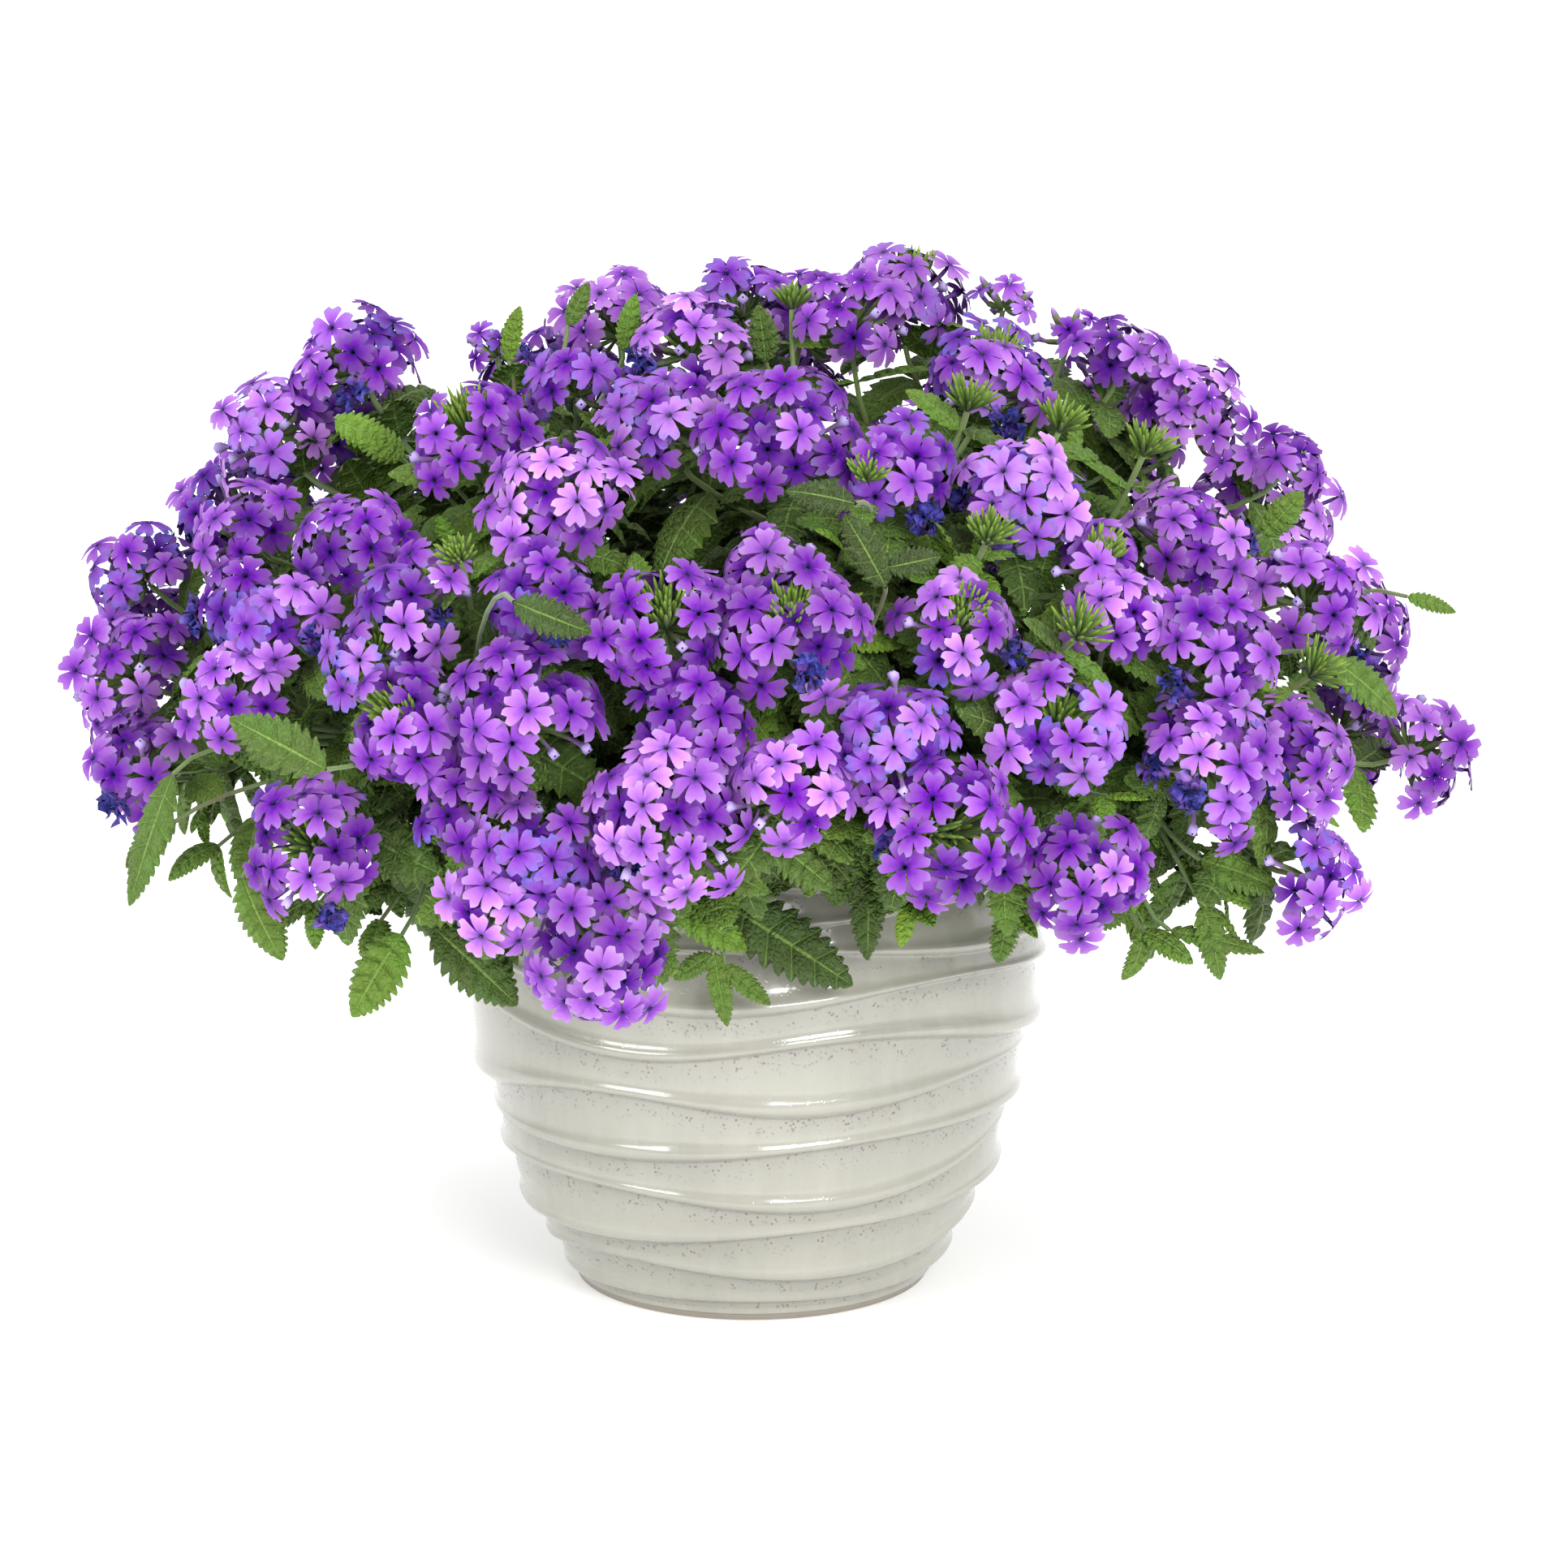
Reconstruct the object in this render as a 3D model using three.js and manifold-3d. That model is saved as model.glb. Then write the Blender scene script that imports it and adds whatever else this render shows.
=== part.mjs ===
// A mounded verbena in a round glazed pot. Millimetres, +Z up, origin at the centre of the pot's foot.
// The front of the plant faces -Y. The plant is a dome of flower heads: each head is a small core from which
// star-shaped florets flare out. Each leafy stem is a branching stem with toothed leaves, rooted in the soil.
import * as THREE from "three";
import { mergeVertices } from "three/addons/utils/BufferGeometryUtils.js";
import Module from "manifold-3d";

const wasm = await Module();
wasm.setup();

const DEG = Math.PI / 180;

// ---- driving dimensions -------------------------------------------------------------------------------

const POT_HEIGHT = 205;
const POT_WALL = 9;
const POT_FLOOR = 14;
const POT_SIDES = 24;
const BAND_BULGE = 3.4; // how far each clay band swells past the creases beside it
const FOOT_RADIUS = 71;
const FOOT_HEIGHT = 2.5;
const INNER_FOOT_RADIUS = FOOT_RADIUS - 12;
const INNER_KNEE = { height: 120, inset: 4 }; // where the inner wall turns in, and how far inside the mouth
// The outline of the band crests: [height, radius].
const POT_OUTLINE = [
  [0, 72], [22, 84], [47, 96.5], [76, 104.5], [106, 112], [138, 117.5], [165, 117], [205, 114.5],
];
// The creases between the bands: [height, rise and fall round the pot], from the foot up.
const CREASES = [
  [7, 0], [15.5, 0.8], [30.5, 2.5], [47.5, -3], [67, 3], [87.5, -2], [109, 4], [133, -3], [151, 3],
  [167, -1.5], [181, 1], [193, 0],
];
const CREASE_WAVES = 3; // waves in one turn of a crease

const SOIL_LEVEL = 188;
const SOIL_DEPTH = 45; // how deep the main stems stand in the soil
const GAP = 0.35; // the gap that neighbouring pieces keep

// The dome that the flower heads cover: half widths, height above and drop below its widest level.
const MOUND = { across: 262, deep: 228, rise: 192, drop: 100, level: 200 };
const UPTURN = 0.35; // how much the heads turn from the dome's own direction towards the light

// Flower heads of the front and the crown, as seen from the front: [across, height, radius, how far sunk into
// the dome]. They are listed with the foremost first. Where two crowd each other, the later one gives way.
const FRONT_HEADS = [
  [-30, 237, 29, 0], [-55, 183, 26, 0], [-83, 272, 28, 0], [15, 303, 26, 0], [11, 361, 28, -4],
  [173, 246, 28, 0], [173, 285, 26, 0], [74, 233, 27, 0], [125, 212, 23, 4], [15, 250, 23, 4],
  [-163, 217, 25, 0], [54, 267, 23, 6], [115, 268, 23, 4], [-30, 304, 25, 0], [78, 304, 22, 6],
  [-126, 267, 24, 4], [-139, 289, 21, 4], [-80, 224, 21, 4], [-92, 203, 18, 0], [-20, 275, 21, 8],
  [-105, 240, 20, 12], [-238, 228, 21, 4], [-193, 266, 21, 0], [-177, 293, 21, 4], [-243, 257, 26, 0],
  [-241, 287, 23, 0], [-200, 298, 18, 8], [-124, 307, 22, 4], [-151, 324, 22, 6], [-196, 317, 21, 2],
  [-105, 358, 24, 0], [-70, 343, 26, 0], [-75, 311, 22, 6], [11, 325, 21, 12], [-31, 368, 23, 4],
  [-67, 377, 19, 4], [-151, 366, 26, -6], [-187, 346, 25, 0], [-23, 392, 24, 0], [39, 388, 22, 4],
  [93, 375, 26, 0], [56, 352, 22, 4], [103, 340, 25, 0], [131, 320, 19, 6], [139, 303, 18, 6],
  [170, 324, 23, 6], [218, 291, 27, 0], [212, 240, 23, 4], [262, 213, 25, -6], [219, 190, 20, 4],
  [172, 347, 26, -4], [145, 368, 21, -4], [211, 328, 15, -4],
];
// Small heads that stand up behind the crown: [across, depth behind the axis, height, radius].
const CROWN_HEADS = [
  [61, 34, 396, 26], [100, 30, 389, 13], [126, 26, 376, 12], [-100, 10, 372, 11], [-4, 34, 394, 25],
];
// Tiers of heads round the back: [height, number, first bearing, last bearing, radius]. Bearing 0 is the
// front and 90 the +X side.
const BACK_TIERS = [
  [206, 8, 104, 255, 30], [254, 7, 99, 261, 32], [304, 6, 103, 257, 32], [350, 5, 108, 252, 30],
  [380, 2, 165, 222, 28],
];
const TIER_JITTER = { bearing: 8, height: 14, radius: 4 };

const PETALS = 5;
const PETAL_NOTCH = 0.56; // how far the notches between petals reach, as a share of the petals' reach
const PETAL_LIFT = 0.03; // how far petal tips rise over the notches, as a share of the head's radius
const CORE_SHARE = 0.4; // the core's radius as a share of the head's
const FLORET_STAND = 0.93; // how far out the florets open, as a share of the head's radius
const THROAT_DEPTH = 0.08; // how deep a floret's throat is, as a share of the head's radius
const RING_TILT = 62 * DEG; // how far the ring florets lean from the head's axis
const CORE_TOP_TILT = 28 * DEG;
const CORE_FOOT_TILT = 104 * DEG;
const FLORET_SIZE = { 3: 0.7, 4: 0.64, 5: 0.57 }; // share of the head's radius, by the number in the ring
// How far each floret is turned, so that its petals fall between its neighbours' and don't cross them: the
// middle one from the first of the ring, and then each of the ring from the head's axis.
const FLORET_TURNS = { 3: [0, 30, 24, 42], 4: [12, 30, 36, 42, 30], 5: [0, 48, 48, 48, 48, 48] };

const BLOOM_NODES = 39; // how many bunches the heads are gathered into
const TURNS = 8; // spins tried for each head
const NUDGE = 5; // how far a crowded head may give way at a time
const SEAM_TRIANGLES = { heads: 90, branch: 24, leaf: 34 }; // the most triangles that joining may add

// Main stems in rings. lift is the degrees that they rise above the dome's level, and root how far from the
// axis they leave the soil.
const STEM_RINGS = [
  { count: 7, bearing: 8, lift: 8, root: 66 },
  { count: 4, bearing: 25, lift: 48, root: 30 },
];
const STEM_REACH = 0.55; // how far out a main stem reaches, as a share of the way to the dome
const STEM_CLEARANCE = 22; // how far above the dome's level the outermost stems pass the rim
const STEM_RADIUS = 2.6;
const BRANCH_RADIUS = 1.9;
const PROBE_RADIUS = 2.6; // the room that a branch needs
const STEM_STEPS = 4;
const BRANCH_STEPS = 2;
const SHOOT_STEPS = 3;
const FORKS = [0.98, 0.9, 0.82, 0.74, 0.66, 0.58, 0.5]; // where branches may leave a main stem
const BENDS = [0.35, 0.2, 0.5, 0.08]; // how gently a branch may bend, tried in turn

// Leafy shoots that hang over the rim: [bearing, reach of the tip, height of the tip, leaf length].
const SHOOTS = [
  [-4, 142, 196, 54], [24, 146, 182, 42], [56, 176, 186, 44], [80, 220, 196, 42], [-36, 160, 188, 50],
  [-66, 195, 182, 50], [-95, 238, 190, 44], [-142, 170, 188, 48], [135, 168, 188, 48],
];
// Leafy tips that stand out between the heads: [bearing, degrees above the dome's level, leaf length].
const TIPS = [
  [-30, 62, 32], [80, 22, 38], [-78, 4, 36], [28, 40, 42], [-52, 14, 40], [160, 30, 38], [-140, 35, 38],
];
const TIP_REACH = 0.86; // how near the dome a leafy tip comes

// One half of a leaf's outline, from the stalk to just before the tip: [share of the length, share of the
// half width]. Teeth stick out between notches.
const LEAF_EDGE = [[0.14, 0.34], [0.36, 1], [0.42, 0.72], [0.66, 0.76], [0.71, 0.46]];
const LEAF_RIDGE = [0.1, 0.6]; // where the midrib is thickest
const LEAF_THICKNESS = 1.8;
const LEAF_SHAPE = 0.62; // width over length
const LEAF_CUP = 0.06; // how far the edges rise, as a share of the width
const LEAF_SINK = 1.4; // how far behind its stem's middle line a leaf starts
const LEAF_SPREAD = 62; // degrees between a leaf and its stem
const LEAF_SPARE = 0.5; // the room all round that a leaf needs
// What is tried for a leaf until it has room: [turn about the stem in degrees, droop, share of the length].
const LEAF_TRIES = [
  [0, 0.35, 1], [25, 0.35, 1], [-25, 0.2, 1], [0, 0.6, 0.85], [45, 0.3, 0.85], [-45, 0.3, 0.85],
  [0, 0.1, 0.7], [30, 0.7, 0.7], [-30, 0.7, 0.7], [70, 0.3, 0.7], [-70, 0.3, 0.7],
];

// ---- small helpers ------------------------------------------------------------------------------------

const vec = (x, y, z) => new THREE.Vector3(x, y, z);
const rgb = (r, g, b) => new THREE.Color().setRGB(r, g, b, THREE.SRGBColorSpace);

// A seeded random generator of numbers from 0 to 1.
function seeded(seed) {
  let state = seed >>> 0;
  return () => {
    state = (state + 0x6d2b79f5) >>> 0;
    let t = Math.imul(state ^ (state >>> 15), state | 1);
    t = (t + Math.imul(t ^ (t >>> 7), t | 61)) ^ t;
    return ((t ^ (t >>> 14)) >>> 0) / 4294967296;
  };
}

const SAME_CORNER = 1e-4;
const CLOSEST_CORNERS = 2e-3;
const LEAST_VOLUME = 1e-4;
const FACET_SLACK = 0.03; // how far a corner may move to do away with sliver facets

// A closed three.js geometry as a manifold-3d solid.
function solid(geometry) {
  const bare = new THREE.BufferGeometry().setAttribute("position", geometry.getAttribute("position").clone());
  if (geometry.index) bare.setIndex(geometry.index.clone());
  const merged = mergeVertices(bare, SAME_CORNER);
  return new wasm.Manifold(
    new wasm.Mesh({
      numProp: 3,
      vertProperties: new Float32Array(merged.attributes.position.array),
      triVerts: new Uint32Array(merged.index.array),
    }),
  );
}

// A manifold-3d solid as a three.js geometry, with corners closer than a hair merged.
function geometryOf(made, closest = CLOSEST_CORNERS) {
  const mesh = made.getMesh();
  const raw = new THREE.BufferGeometry()
    .setAttribute("position", new THREE.BufferAttribute(new Float32Array(mesh.vertProperties), 3))
    .setIndex(new THREE.BufferAttribute(new Uint32Array(mesh.triVerts), 1));
  const merged = mergeVertices(raw, closest);
  const kept = [];
  for (let i = 0; i < merged.index.count; i += 3) {
    const [a, b, c] = [0, 1, 2].map((k) => merged.index.getX(i + k));
    if (a !== b && b !== c && c !== a) kept.push(a, b, c);
  }
  return merged.setIndex(kept);
}

// Whether every edge of a geometry is shared by just two of its triangles.
function isClosed(geometry) {
  const index = geometry.index.array;
  const edges = new Set();
  for (let i = 0; i < index.length; i += 3) {
    for (let k = 0; k < 3; k++) {
      const edge = `${index[i + k]} ${index[i + ((k + 1) % 3)]}`;
      if (edges.has(edge)) return false;
      edges.add(edge);
    }
  }
  return [...edges].every((edge) => edges.has(edge.split(" ").reverse().join(" ")));
}

// Two solids in one, or null where they don't make one sound body, or one with too many more triangles.
function join(whole, part, most) {
  const made = whole.add(part);
  if (made.numTri() > whole.numTri() + part.numTri() + most) return null;
  const isSound = [0.7, 1, 1.3].every((share) => isClosed(geometryOf(made, share * CLOSEST_CORNERS)));
  return made.decompose().length === 1 && isSound ? made : null;
}

// Points and triangles as a geometry.
function polyhedron(points, faces) {
  const numbers = points.flatMap((p) => [p.x, p.y, p.z]);
  const geometry = new THREE.BufferGeometry();
  geometry.setAttribute("position", new THREE.Float32BufferAttribute(numbers, 3));
  return geometry.setIndex(faces.flat());
}

// Whether two solids share any space.
function touches(a, b) {
  const p = a.boundingBox();
  const q = b.boundingBox();
  for (let i = 0; i < 3; i++) if (p.max[i] < q.min[i] || q.max[i] < p.min[i]) return false;
  return a.intersect(b).volume() > LEAST_VOLUME;
}

const touchesAny = (a, others) => others.some((b) => touches(a, b));

const bearingOf = (degrees) => vec(Math.sin(degrees * DEG), -Math.cos(degrees * DEG), 0);

// Two unit vectors square to w and to each other.
function sidesOf(w) {
  const u = Math.abs(w.z) < 0.9 ? vec(0, 0, 1).cross(w).normalize() : vec(1, 0, 0).cross(w).normalize();
  return [u, w.clone().cross(u)];
}

// ---- pot ----------------------------------------------------------------------------------------------

// The radius of the band crests at a height, between the points of the outline.
function outlineRadius(z) {
  const k = Math.max(1, POT_OUTLINE.findIndex(([height]) => height >= z));
  const [z0, r0] = POT_OUTLINE[k - 1];
  const [z1, r1] = POT_OUTLINE[k];
  return r0 + ((r1 - r0) * (z - z0)) / (z1 - z0);
}

// The height of a crease at an angle round the pot.
function creaseHeight(index, angle) {
  const [height, swing] = CREASES[index];
  return height + swing * Math.cos(CREASE_WAVES * angle + 0.5 * Math.sin(2.1 * index));
}

// The height of an outer row at an angle: even rows are the creases, and odd ones the crests between them.
function rowHeight(row, angle) {
  return (creaseHeight(Math.floor(row / 2), angle) + creaseHeight(Math.ceil(row / 2), angle)) / 2;
}

const MOUTH_RADIUS = outlineRadius(POT_HEIGHT) - POT_WALL;

// The pot is a lathe whose outer rows are then moved to the creases and crests.
function pot() {
  const lip = outlineRadius(POT_HEIGHT);
  const foot = [[0, 0], [FOOT_RADIUS - 3, 0], [FOOT_RADIUS, FOOT_HEIGHT]];
  const outer = Array.from({ length: 2 * CREASES.length - 1 }, (_, row) => [FOOT_RADIUS, rowHeight(row, 0)]);
  const inner = [
    [lip, POT_HEIGHT - 6], [lip - 2, POT_HEIGHT - 1], [MOUTH_RADIUS + 3, POT_HEIGHT],
    [MOUTH_RADIUS, POT_HEIGHT - 4], [MOUTH_RADIUS - INNER_KNEE.inset, INNER_KNEE.height],
    [INNER_FOOT_RADIUS, POT_FLOOR + 8], [0, POT_FLOOR],
  ];
  const profile = [...foot, ...outer, ...inner].map(([r, z]) => new THREE.Vector2(r, z));
  const geometry = new THREE.LatheGeometry(profile, POT_SIDES).rotateX(Math.PI / 2);
  const position = geometry.getAttribute("position");
  for (let side = 0; side <= POT_SIDES; side++) {
    const angle = ((side % POT_SIDES) / POT_SIDES) * 2 * Math.PI;
    outer.forEach((_, row) => {
      const height = rowHeight(row, angle);
      const radius = outlineRadius(height) - (row % 2 ? 0 : BAND_BULGE);
      const place = side * profile.length + foot.length + row;
      position.setXYZ(place, radius * Math.sin(angle), -radius * Math.cos(angle), height);
    });
  }
  return geometry;
}

// ---- the dome and its flower heads --------------------------------------------------------------------

// The direction that the dome's surface faces at a point, turned a little towards the light.
function facingAt(point) {
  const half = point.z > MOUND.level ? MOUND.rise : MOUND.drop;
  const rise = (point.z - MOUND.level) / half ** 2;
  const out = vec(point.x / MOUND.across ** 2, point.y / MOUND.deep ** 2, rise);
  return out.normalize().add(vec(0, 0, UPTURN)).normalize();
}

// The dome's depth from the axis where it is seen at x and z.
function domeDepth(x, z) {
  const half = z > MOUND.level ? MOUND.rise : MOUND.drop;
  const left = 1 - (x / MOUND.across) ** 2 - ((z - MOUND.level) / half) ** 2;
  return MOUND.deep * Math.sqrt(Math.max(0, left));
}

function headAt(x, y, z, radius, sunk) {
  const seen = vec(x, y, z);
  const facing = facingAt(seen);
  return { hub: seen.addScaledVector(facing, -0.5 * radius - sunk), facing, radius };
}

// Where the heads of a back tier sit: evenly round the dome, each a little off its place.
function tierHeads([height, count, first, last, radius], tier) {
  const random = seeded(40 + tier);
  return Array.from({ length: count }, (_, i) => {
    const evenly = first + ((last - first) * i) / (count - 1);
    const bearing = (evenly + TIER_JITTER.bearing * (random() - 0.5)) * DEG;
    const z = height + TIER_JITTER.height * (random() - 0.5);
    const half = z > MOUND.level ? MOUND.rise : MOUND.drop;
    const share = Math.sqrt(Math.max(0, 1 - ((z - MOUND.level) / half) ** 2));
    const reach = share / Math.hypot(Math.sin(bearing) / MOUND.across, Math.cos(bearing) / MOUND.deep);
    const grown = radius + TIER_JITTER.radius * (random() - 0.5);
    return headAt(reach * Math.sin(bearing), -reach * Math.cos(bearing), z, grown, 0);
  });
}

const heads = [
  ...FRONT_HEADS.map(([x, z, radius, sunk]) => headAt(x, -domeDepth(x, z), z, radius, sunk)),
  ...CROWN_HEADS.map(([x, y, z, radius]) => headAt(x, y, z, radius, 0)),
  ...BACK_TIERS.flatMap(tierHeads),
];

// How many florets ring the one in the middle.
const ringCount = (radius) => (radius < 26 ? 3 : radius < 34 ? 4 : 5);

// The triangles between an inner loop and an outer loop, both counter-clockwise about axis w through hub.
function wall(points, inner, outer, hub, u, v) {
  const angleOf = (index) => {
    const d = points[index].clone().sub(hub);
    return Math.atan2(d.dot(v), d.dot(u));
  };
  const turn = (a) => ((a % (2 * Math.PI)) + 2 * Math.PI) % (2 * Math.PI);
  const start = angleOf(inner[0]);
  const from = outer.reduce((best, index, j) => {
    const off = Math.abs(turn(angleOf(index) - start + Math.PI) - Math.PI);
    return off < best.off ? { off, j } : best;
  }, { off: 10, j: 0 }).j;
  const first = angleOf(outer[from]);
  const faces = [];
  let i = 0;
  let j = 0;
  const innerAngle = (k) => (k === inner.length ? 2 * Math.PI : turn(angleOf(inner[k]) - start));
  const outerAngle = (k) =>
    k === outer.length ? 2 * Math.PI : turn(angleOf(outer[(from + k) % outer.length]) - first);
  while (i < inner.length || j < outer.length) {
    const a = inner[i % inner.length];
    const b = outer[(from + j) % outer.length];
    const advanceInner = j === outer.length || (i < inner.length && innerAngle(i + 1) < outerAngle(j + 1));
    if (advanceInner) faces.push([a, inner[++i % inner.length], b]);
    else faces.push([a, outer[(from + ++j) % outer.length], b]);
  }
  return faces;
}

// One floret: a five-petalled star with a sunk throat, whose underside narrows to a loop of the core.
function addFloret(points, faces, head, { direction, toward, turn, loop }, size) {
  const u = toward;
  const v = direction.clone().cross(toward);
  const centre = head.hub.clone().addScaledVector(direction, FLORET_STAND * head.radius);
  const rim = [];
  for (let k = 0; k < 2 * PETALS; k++) {
    const angle = turn * DEG + (k * Math.PI) / PETALS;
    const reach = k % 2 ? PETAL_NOTCH * size : size;
    const lift = (k % 2 ? 0 : PETAL_LIFT) * head.radius;
    rim.push(points.length);
    points.push(
      centre.clone()
        .addScaledVector(u, reach * Math.cos(angle))
        .addScaledVector(v, reach * Math.sin(angle))
        .addScaledVector(direction, lift),
    );
  }
  const throat = points.length;
  points.push(centre.clone().addScaledVector(direction, -THROAT_DEPTH * head.radius));
  rim.forEach((index, k) => faces.push([throat, index, rim[(k + 1) % rim.length]]));
  faces.push(...wall(points, loop, rim, head.hub, u, v));
}

// The core's points, and for each floret its direction, how it is turned and the loop of the core that it
// grows from.
function corePlan(head, spin) {
  const ring = ringCount(head.radius);
  const [u, v] = sidesOf(head.facing);
  const at = (tilt, angle, reach) =>
    head.hub.clone()
      .addScaledVector(head.facing, reach * Math.cos(tilt))
      .addScaledVector(u, reach * Math.sin(tilt) * Math.cos(angle))
      .addScaledVector(v, reach * Math.sin(tilt) * Math.sin(angle));
  const step = (2 * Math.PI) / ring;
  const core = CORE_SHARE * head.radius;
  const upper = Array.from({ length: ring }, (_, i) => at(CORE_TOP_TILT, spin + (i + 0.5) * step, core));
  const lower = Array.from({ length: ring }, (_, i) => at(CORE_FOOT_TILT, spin + (i + 0.5) * step, core));
  const turns = FLORET_TURNS[ring];
  const plan = [{
    direction: head.facing.clone(), toward: at(Math.PI / 2, spin, 1).sub(head.hub), turn: turns[0],
    loop: upper.map((_, i) => i),
  }];
  for (let i = 0; i < ring; i++) {
    const before = (i + ring - 1) % ring;
    const direction = at(RING_TILT, spin + i * step, 1).sub(head.hub).normalize();
    const toward = head.facing.clone().addScaledVector(direction, -direction.dot(head.facing)).normalize();
    plan.push({ direction, toward, turn: turns[i + 1], loop: [i, before, ring + before, ring + i] });
  }
  return { points: [...upper, ...lower], plan, ring };
}

const floretSize = (head) => head.radius * FLORET_SIZE[ringCount(head.radius)];

// One floret alone, a little larger than life, to see whether it has room.
function floretProbe(head, spin, k, share) {
  const { points, plan } = corePlan(head, spin);
  const faces = [];
  const { loop } = plan[k];
  addFloret(points, faces, { ...head, radius: head.radius + 0.6 }, plan[k], share * floretSize(head) + 0.6);
  for (let i = 1; i + 1 < loop.length; i++) faces.push([loop[0], loop[i + 1], loop[i]]);
  const used = [...new Set(faces.flat())];
  const place = new Map(used.map((index, i) => [index, i]));
  return solid(polyhedron(used.map((i) => points[i]), faces.map((f) => f.map((i) => place.get(i)))));
}

// A whole head. shares says how large each floret is, and 0 leaves it off.
function headSolid(head, spin, shares) {
  const { points, plan, ring } = corePlan(head, spin);
  const faces = [];
  plan.forEach((floret, k) => {
    const { loop } = floret;
    const size = (shares[k] ?? 0) * floretSize(head);
    if (size > 0) addFloret(points, faces, head, floret, size);
    else for (let i = 1; i + 1 < loop.length; i++) faces.push([loop[0], loop[i], loop[i + 1]]);
  });
  for (let i = 1; i + 1 < ring; i++) faces.push([ring, ring + i + 1, ring + i]);
  return solid(polyhedron(points, faces));
}

// Neighbouring heads that touch share a bunch, the closest ones first, until the bunches are few enough.
function bunches() {
  const whole = heads.map((head, i) => headSolid(head, 2.4 * i, Array(PETALS + 1).fill(1)));
  const closeness = (i, j) => heads[i].hub.distanceTo(heads[j].hub) / (heads[i].radius + heads[j].radius);
  const pairs = [];
  heads.forEach((later, j) => heads.slice(0, j).forEach((earlier, i) => {
    const closer = earlier.hub.clone().sub(later.hub).setLength(2 * NUDGE);
    if (closeness(i, j) < 1.1 && touches(whole[i], whole[j].translate(closer.toArray()))) pairs.push([i, j]);
  }));
  pairs.sort((p, q) => closeness(...p) - closeness(...q));
  const bunchOf = heads.map((_, i) => [i]);
  let count = heads.length;
  for (const most of [2, 3, 4, 5]) {
    for (const [i, j] of pairs) {
      const [p, q] = [bunchOf[i], bunchOf[j]];
      if (count <= BLOOM_NODES || p === q || p.length + q.length > most) continue;
      const joined = i === p.at(-1) ? [...p, ...q] : [...p].reverse().concat(q);
      joined.forEach((k) => (bunchOf[k] = joined));
      count--;
    }
  }
  return [...new Set(bunchOf)];
}

// A head beside those already placed: florets with no room are made smaller or left off.
function fittedHead(head, spin, near) {
  const core = headSolid({ ...head, radius: head.radius + 1 }, spin, []);
  if (touchesAny(core, near)) return null;
  const shares = Array.from({ length: ringCount(head.radius) + 1 }, (_, k) =>
    [1, 0.8, 0.62].find((share) => !touchesAny(floretProbe(head, spin, k, share), near)) ?? 0,
  );
  const missing = shares.reduce((sum, share) => sum + 1 - share, 0);
  return { made: headSolid(head, spin, shares), missing };
}

// The places tried for a head: its own, then a little to each side, in or out, and closer to its bunch.
function nudged(head, partner) {
  const [u, v] = sidesOf(head.facing);
  const [left, below, inward] = [u, v, head.facing].map((way) => way.clone().negate());
  const moves = [vec(0, 0, 0), head.facing, u, v, left, below, inward];
  if (partner) {
    const closer = partner.hub.clone().sub(head.hub).normalize();
    moves.push(closer, ...[2, 2.8].map((steps) => closer.clone().multiplyScalar(steps)));
  }
  return moves.map((move) => ({ ...head, hub: head.hub.clone().addScaledVector(move, NUDGE) }));
}

// The best way to add a head to its bunch: in one body with it, with as many whole florets as have room.
function bestFit(index, whole, partner, placed) {
  const head = heads[index];
  const reach = 1.4 * head.radius + 3 * NUDGE;
  const near = placed.filter((other) => {
    const box = other.boundingBox();
    return head.hub.toArray().every((c, i) => c + reach > box.min[i] && c - reach < box.max[i]);
  });
  let best = null;
  for (const place of nudged(head, partner)) {
    for (let turn = 0; turn < TURNS; turn++) {
      const spin = index * 2.4 + (turn * 2 * Math.PI) / (TURNS * ringCount(head.radius));
      const fitted = fittedHead(place, spin, near);
      if (!fitted || (best && fitted.missing >= best.missing)) continue;
      const joined = whole ? join(whole, fitted.made, SEAM_TRIANGLES.heads) : fitted.made;
      if (!joined) continue;
      best = { joined, place, ...fitted };
      if (best.missing < 0.5) return best;
    }
  }
  return best;
}

// All the bunches as solids, with where each head ended up. A head that can't reach its bunch starts another.
function growBlooms() {
  const solids = [];
  const settled = [];
  for (const members of bunches()) {
    let whole = null;
    let own = [];
    for (const index of members) {
      const away = (place) => place.hub.distanceTo(heads[index].hub);
      const partner = own.toSorted((a, b) => away(a) - away(b))[0];
      let best = bestFit(index, whole, partner, solids);
      if (!best && whole) {
        solids.push(whole);
        whole = null;
        own = [];
        best = bestFit(index, null, null, solids);
      }
      if (!best) throw new Error(`there is no room for head ${index}`);
      whole = best.joined;
      own.push(best.place);
      settled.push({ ...best.place, node: solids.length });
    }
    if (whole) solids.push(whole);
  }
  return { solids, settled };
}

const { solids: blooms, settled } = growBlooms();

// ---- soil ---------------------------------------------------------------------------------------------

// The soil fills the pot, a gap inside its wall, and is a little domed on top.
function soil() {
  const profile = [
    [0, POT_FLOOR + GAP], [INNER_FOOT_RADIUS - GAP, POT_FLOOR + 8 + GAP],
    [MOUTH_RADIUS - INNER_KNEE.inset - GAP, INNER_KNEE.height], [MOUTH_RADIUS - 1.2 - GAP, SOIL_LEVEL - 6],
    [0.75 * MOUTH_RADIUS, SOIL_LEVEL], [0, SOIL_LEVEL + 2],
  ];
  const geometry = new THREE.LatheGeometry(profile.map(([r, z]) => new THREE.Vector2(r, z)), POT_SIDES);
  return solid(geometry.rotateX(Math.PI / 2));
}

// ---- stems --------------------------------------------------------------------------------------------

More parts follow.
